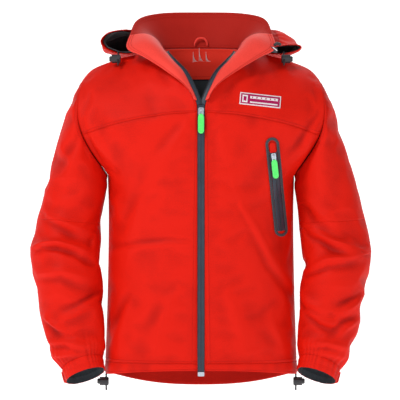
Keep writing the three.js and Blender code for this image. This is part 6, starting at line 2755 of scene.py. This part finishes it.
class Jacket:
    """The whole jacket: builds every sub-assembly and hands each piece to its body, but the upper and lower sleeves and
    the hood pieces stay in place with no body.
    """

    shoulder_bend = 105.0
    elbow_run = ((298.0, -12.0, -350.0), (298.0, -12.0, -440.0))
    hood_run = ((0.0, 10.0, 75.0), (0.0, 90.0, 75.0))
    pull_sizes = {"front": (43, 13, 4.2), "pocket": (42, 13, 4.2)}

    def __init__(self) -> None:
        """Sets up the pattern and the parts that share it."""
        self.pattern = Pattern()
        self.sleeve_pattern = SleevePattern(self.pattern)
        folds = {1: LEFT_FRONT_FOLDS, -1: RIGHT_FRONT_FOLDS}
        self.torso = Torso(self.pattern, front_folds=folds, back_folds=BACK_FOLDS)
        self.hood = Hood(self.pattern)
        self.sleeves = [
            Sleeve(self.sleeve_pattern, 1, LEFT_SLEEVE_FOLDS, BACK_SLEEVE_FOLDS),
            Sleeve(self.sleeve_pattern, -1, RIGHT_SLEEVE_FOLDS, mirrored_folds(BACK_SLEEVE_FOLDS)),
        ]
        self.settled: dict[str, Grid] = {}

    def settle(self) -> None:
        """Runs the cloth simulation of every sheet at once."""
        cloth = Settling()
        for key, grid in self.torso.shapes().items():
            cloth.add(key, grid, self.torso.pins(key), growth=0.007)
        for sleeve in self.sleeves:
            cloth.add(f"sleeve_{sleeve.side}", sleeve.shape(), sleeve.pins(), closed=True, growth=0.018)
        hood = self.hood.shape()
        cloth.add("hood", hood, held_edges(*hood.shape[:2]), growth=0.02)
        self.settled = cloth.run()

    def on(self, item: bpy.types.Object, body: str, *nodes: str) -> None:
        """Hands one piece to a body and says which nodes it stands for.

        Args:
            item: The piece.
            body: The body it rides on.
            nodes: The nodes it stands for, if any.
        """
        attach(item, body)
        if nodes:
            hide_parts(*nodes)
        LOG.info("%s rides on %s for %s", item.name, body, ", ".join(nodes) or "nothing")

    def bend(self, item: bpy.types.Object, ends: tuple[str, str], run: Sequence[np.ndarray], *nodes: str) -> None:
        """Leaves one piece in place, unbent, between two bodies.

        Args:
            item: The piece.
            ends: The two bodies, joined by one joint.
            run: Where the bend would start and end, in millimetres; not used.
            nodes: The nodes it stands for, if any.
        """
        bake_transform(item)
        if nodes:
            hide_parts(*nodes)
        LOG.info("%s bends from %s to %s", item.name, *ends)

    def body(self) -> None:
        """Builds the torso, hem and lining."""
        for item, node in self.torso.build(self.settled):
            self.on(item, "shell", *([node] if node else []))
        for item, node in HemBand(self.pattern).build(self.settled):
            self.on(item, "shell", *([node] if node else []))
        for item, node in Lining(self.torso).build():
            self.on(item, "shell", *([node] if node else []))

    def arms(self) -> None:
        """Builds sleeves, cuffs and cuff tabs."""
        for sleeve in self.sleeves:
            g, side = sleeve.sign, sleeve.side
            out = np.array([g, 1, 1])
            under = np.array([self.pattern.underarm[0], 0, self.pattern.underarm[1]]) * out
            for item, part in sleeve.build(self.settled[f"sleeve_{side}"]):
                if part is SleevePart.UPPER:
                    nodes = (f"sleeve_cap_{side}", f"sleeve_upper_{side}")
                    ends = (under, under + self.shoulder_bend * np.array([g * 0.5, 0, -0.866]))
                    self.bend(item, ("shell", f"upper_arm_{side}"), ends, *nodes)
                elif part is SleevePart.LOWER:
                    nodes = (f"sleeve_elbow_{side}", f"sleeve_lower_{side}")
                    ends = [np.array(end) * out for end in self.elbow_run]
                    self.bend(item, (f"upper_arm_{side}", f"forearm_{side}"), ends, *nodes)
                elif part is SleevePart.CUFF:
                    self.on(item, f"forearm_{side}", f"cuff_{side}")
                else:
                    self.on(item, "shell")
            tab, thread = CuffTab(self.sleeve_pattern, g).build()
            self.on(tab, f"cuff_tab_body_{side}", f"cuff_tab_{side}")
            self.on(thread, f"cuff_tab_body_{side}")

    def neck(self) -> None:
        """Builds the collar, the hood and the loop."""
        for item, nodes in Collar(self.pattern).build():
            self.on(item, "shell", *nodes)
        ends = [np.array(end) for end in self.hood_run]
        for item, node in self.hood.build(self.settled["hood"]):
            self.bend(item, ("shell", "hood"), ends, *([node] if node else []))
        centre = centre_of("hanger_loop")
        low, high = (np.array(v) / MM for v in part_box("hanger_loop"))
        span = (high - low) / 2
        arc = [(-0.86, -0.9), (-0.8, -0.1), (-0.45, 0.7), (0, 0.86), (0.45, 0.7), (0.8, -0.1), (0.86, -0.9)]
        path = np.array([centre + np.array([a * span[0], 0, b * span[2]]) for a, b in arc])
        loop = RoundCord(1.5, flat=1.6).build("hanging_loop", path, Finish.FACING)
        self.on(loop, "shell", "hanger_loop")
        facing = Surface(self.torso.before["back"] - grid_normals(self.torso.before["back"]) * 9.6)
        thread = RepeatAlong(pitch=1.1, length=1.5, width=0.7)
        emblem = thread.build("emblem_stitching", Emblem().paths(facing), Finish.PALE)
        self.on(emblem, "shell")
        for item in HoodTrim().build():
            self.on(item, "shell")

    def closures(self) -> None:
        """Builds zips, pulls, pocket, pocket bag and badge."""
        for item, nodes in FrontZip(self.pattern).build():
            self.on(item, "shell", *nodes)
        chest = Surface(self.settled["front_left"])
        for item, nodes in ChestPocket().build(chest):
            self.on(item, "shell", *nodes)
        for item in PocketBag().build(self.torso):
            self.on(item, "shell", *(["pocket_bag"] if "stitching" not in item.name else []))
        for item in Badge().build(chest):
            self.on(item, "shell", "chest_badge")
        down, across = np.array([0, 0, -1.0]), np.array([1.0, 0, 0])
        tab = PullTab(*self.pull_sizes["front"]).build("front_zip_pull", centre_of("zip_pull_tab"), down, across)
        self.on(tab, "zip_pull", "zip_pull_tab")
        down = unit(np.array((0.1090, 0.2087, -0.9719)))
        across = unit(np.array([0.9938, 0, 0.1115]))
        tab = PullTab(*self.pull_sizes["pocket"]).build("pocket_zip_pull", centre_of("pocket_pull_tab"), down, across)
        self.on(tab, "pocket_pull", "pocket_pull_tab")

    def hardware(self, nodes: dict[str, bpy.types.Object]) -> None:
        """Gives the CAD's own metal, plastic and cord nodes their finishes.

        Args:
            nodes: The frame's nodes by name.
        """
        for name, item in list(nodes.items()):
            if item.hide_render:
                continue
            if name.endswith("cord"):
                self.on(braided(item, name + "_braid"), "shell", name)
                continue
            finish = Finish.STEEL
            if "lock" in name:
                finish = Finish.BLACK
            item.data.materials.clear()
            item.data.materials.append(finish.material())
            LOG.info("%s keeps its CAD shape", name)


def main() -> None:
    """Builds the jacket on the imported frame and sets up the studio."""
    logging.basicConfig(level=logging.INFO, format="%(name)s: %(message)s")
    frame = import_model()
    Studio().build()
    jacket = Jacket()
    jacket.settle()
    jacket.body()
    jacket.arms()
    jacket.neck()
    jacket.closures()
    jacket.hardware(frame["nodes"])


if __name__ == "__main__":
    main()
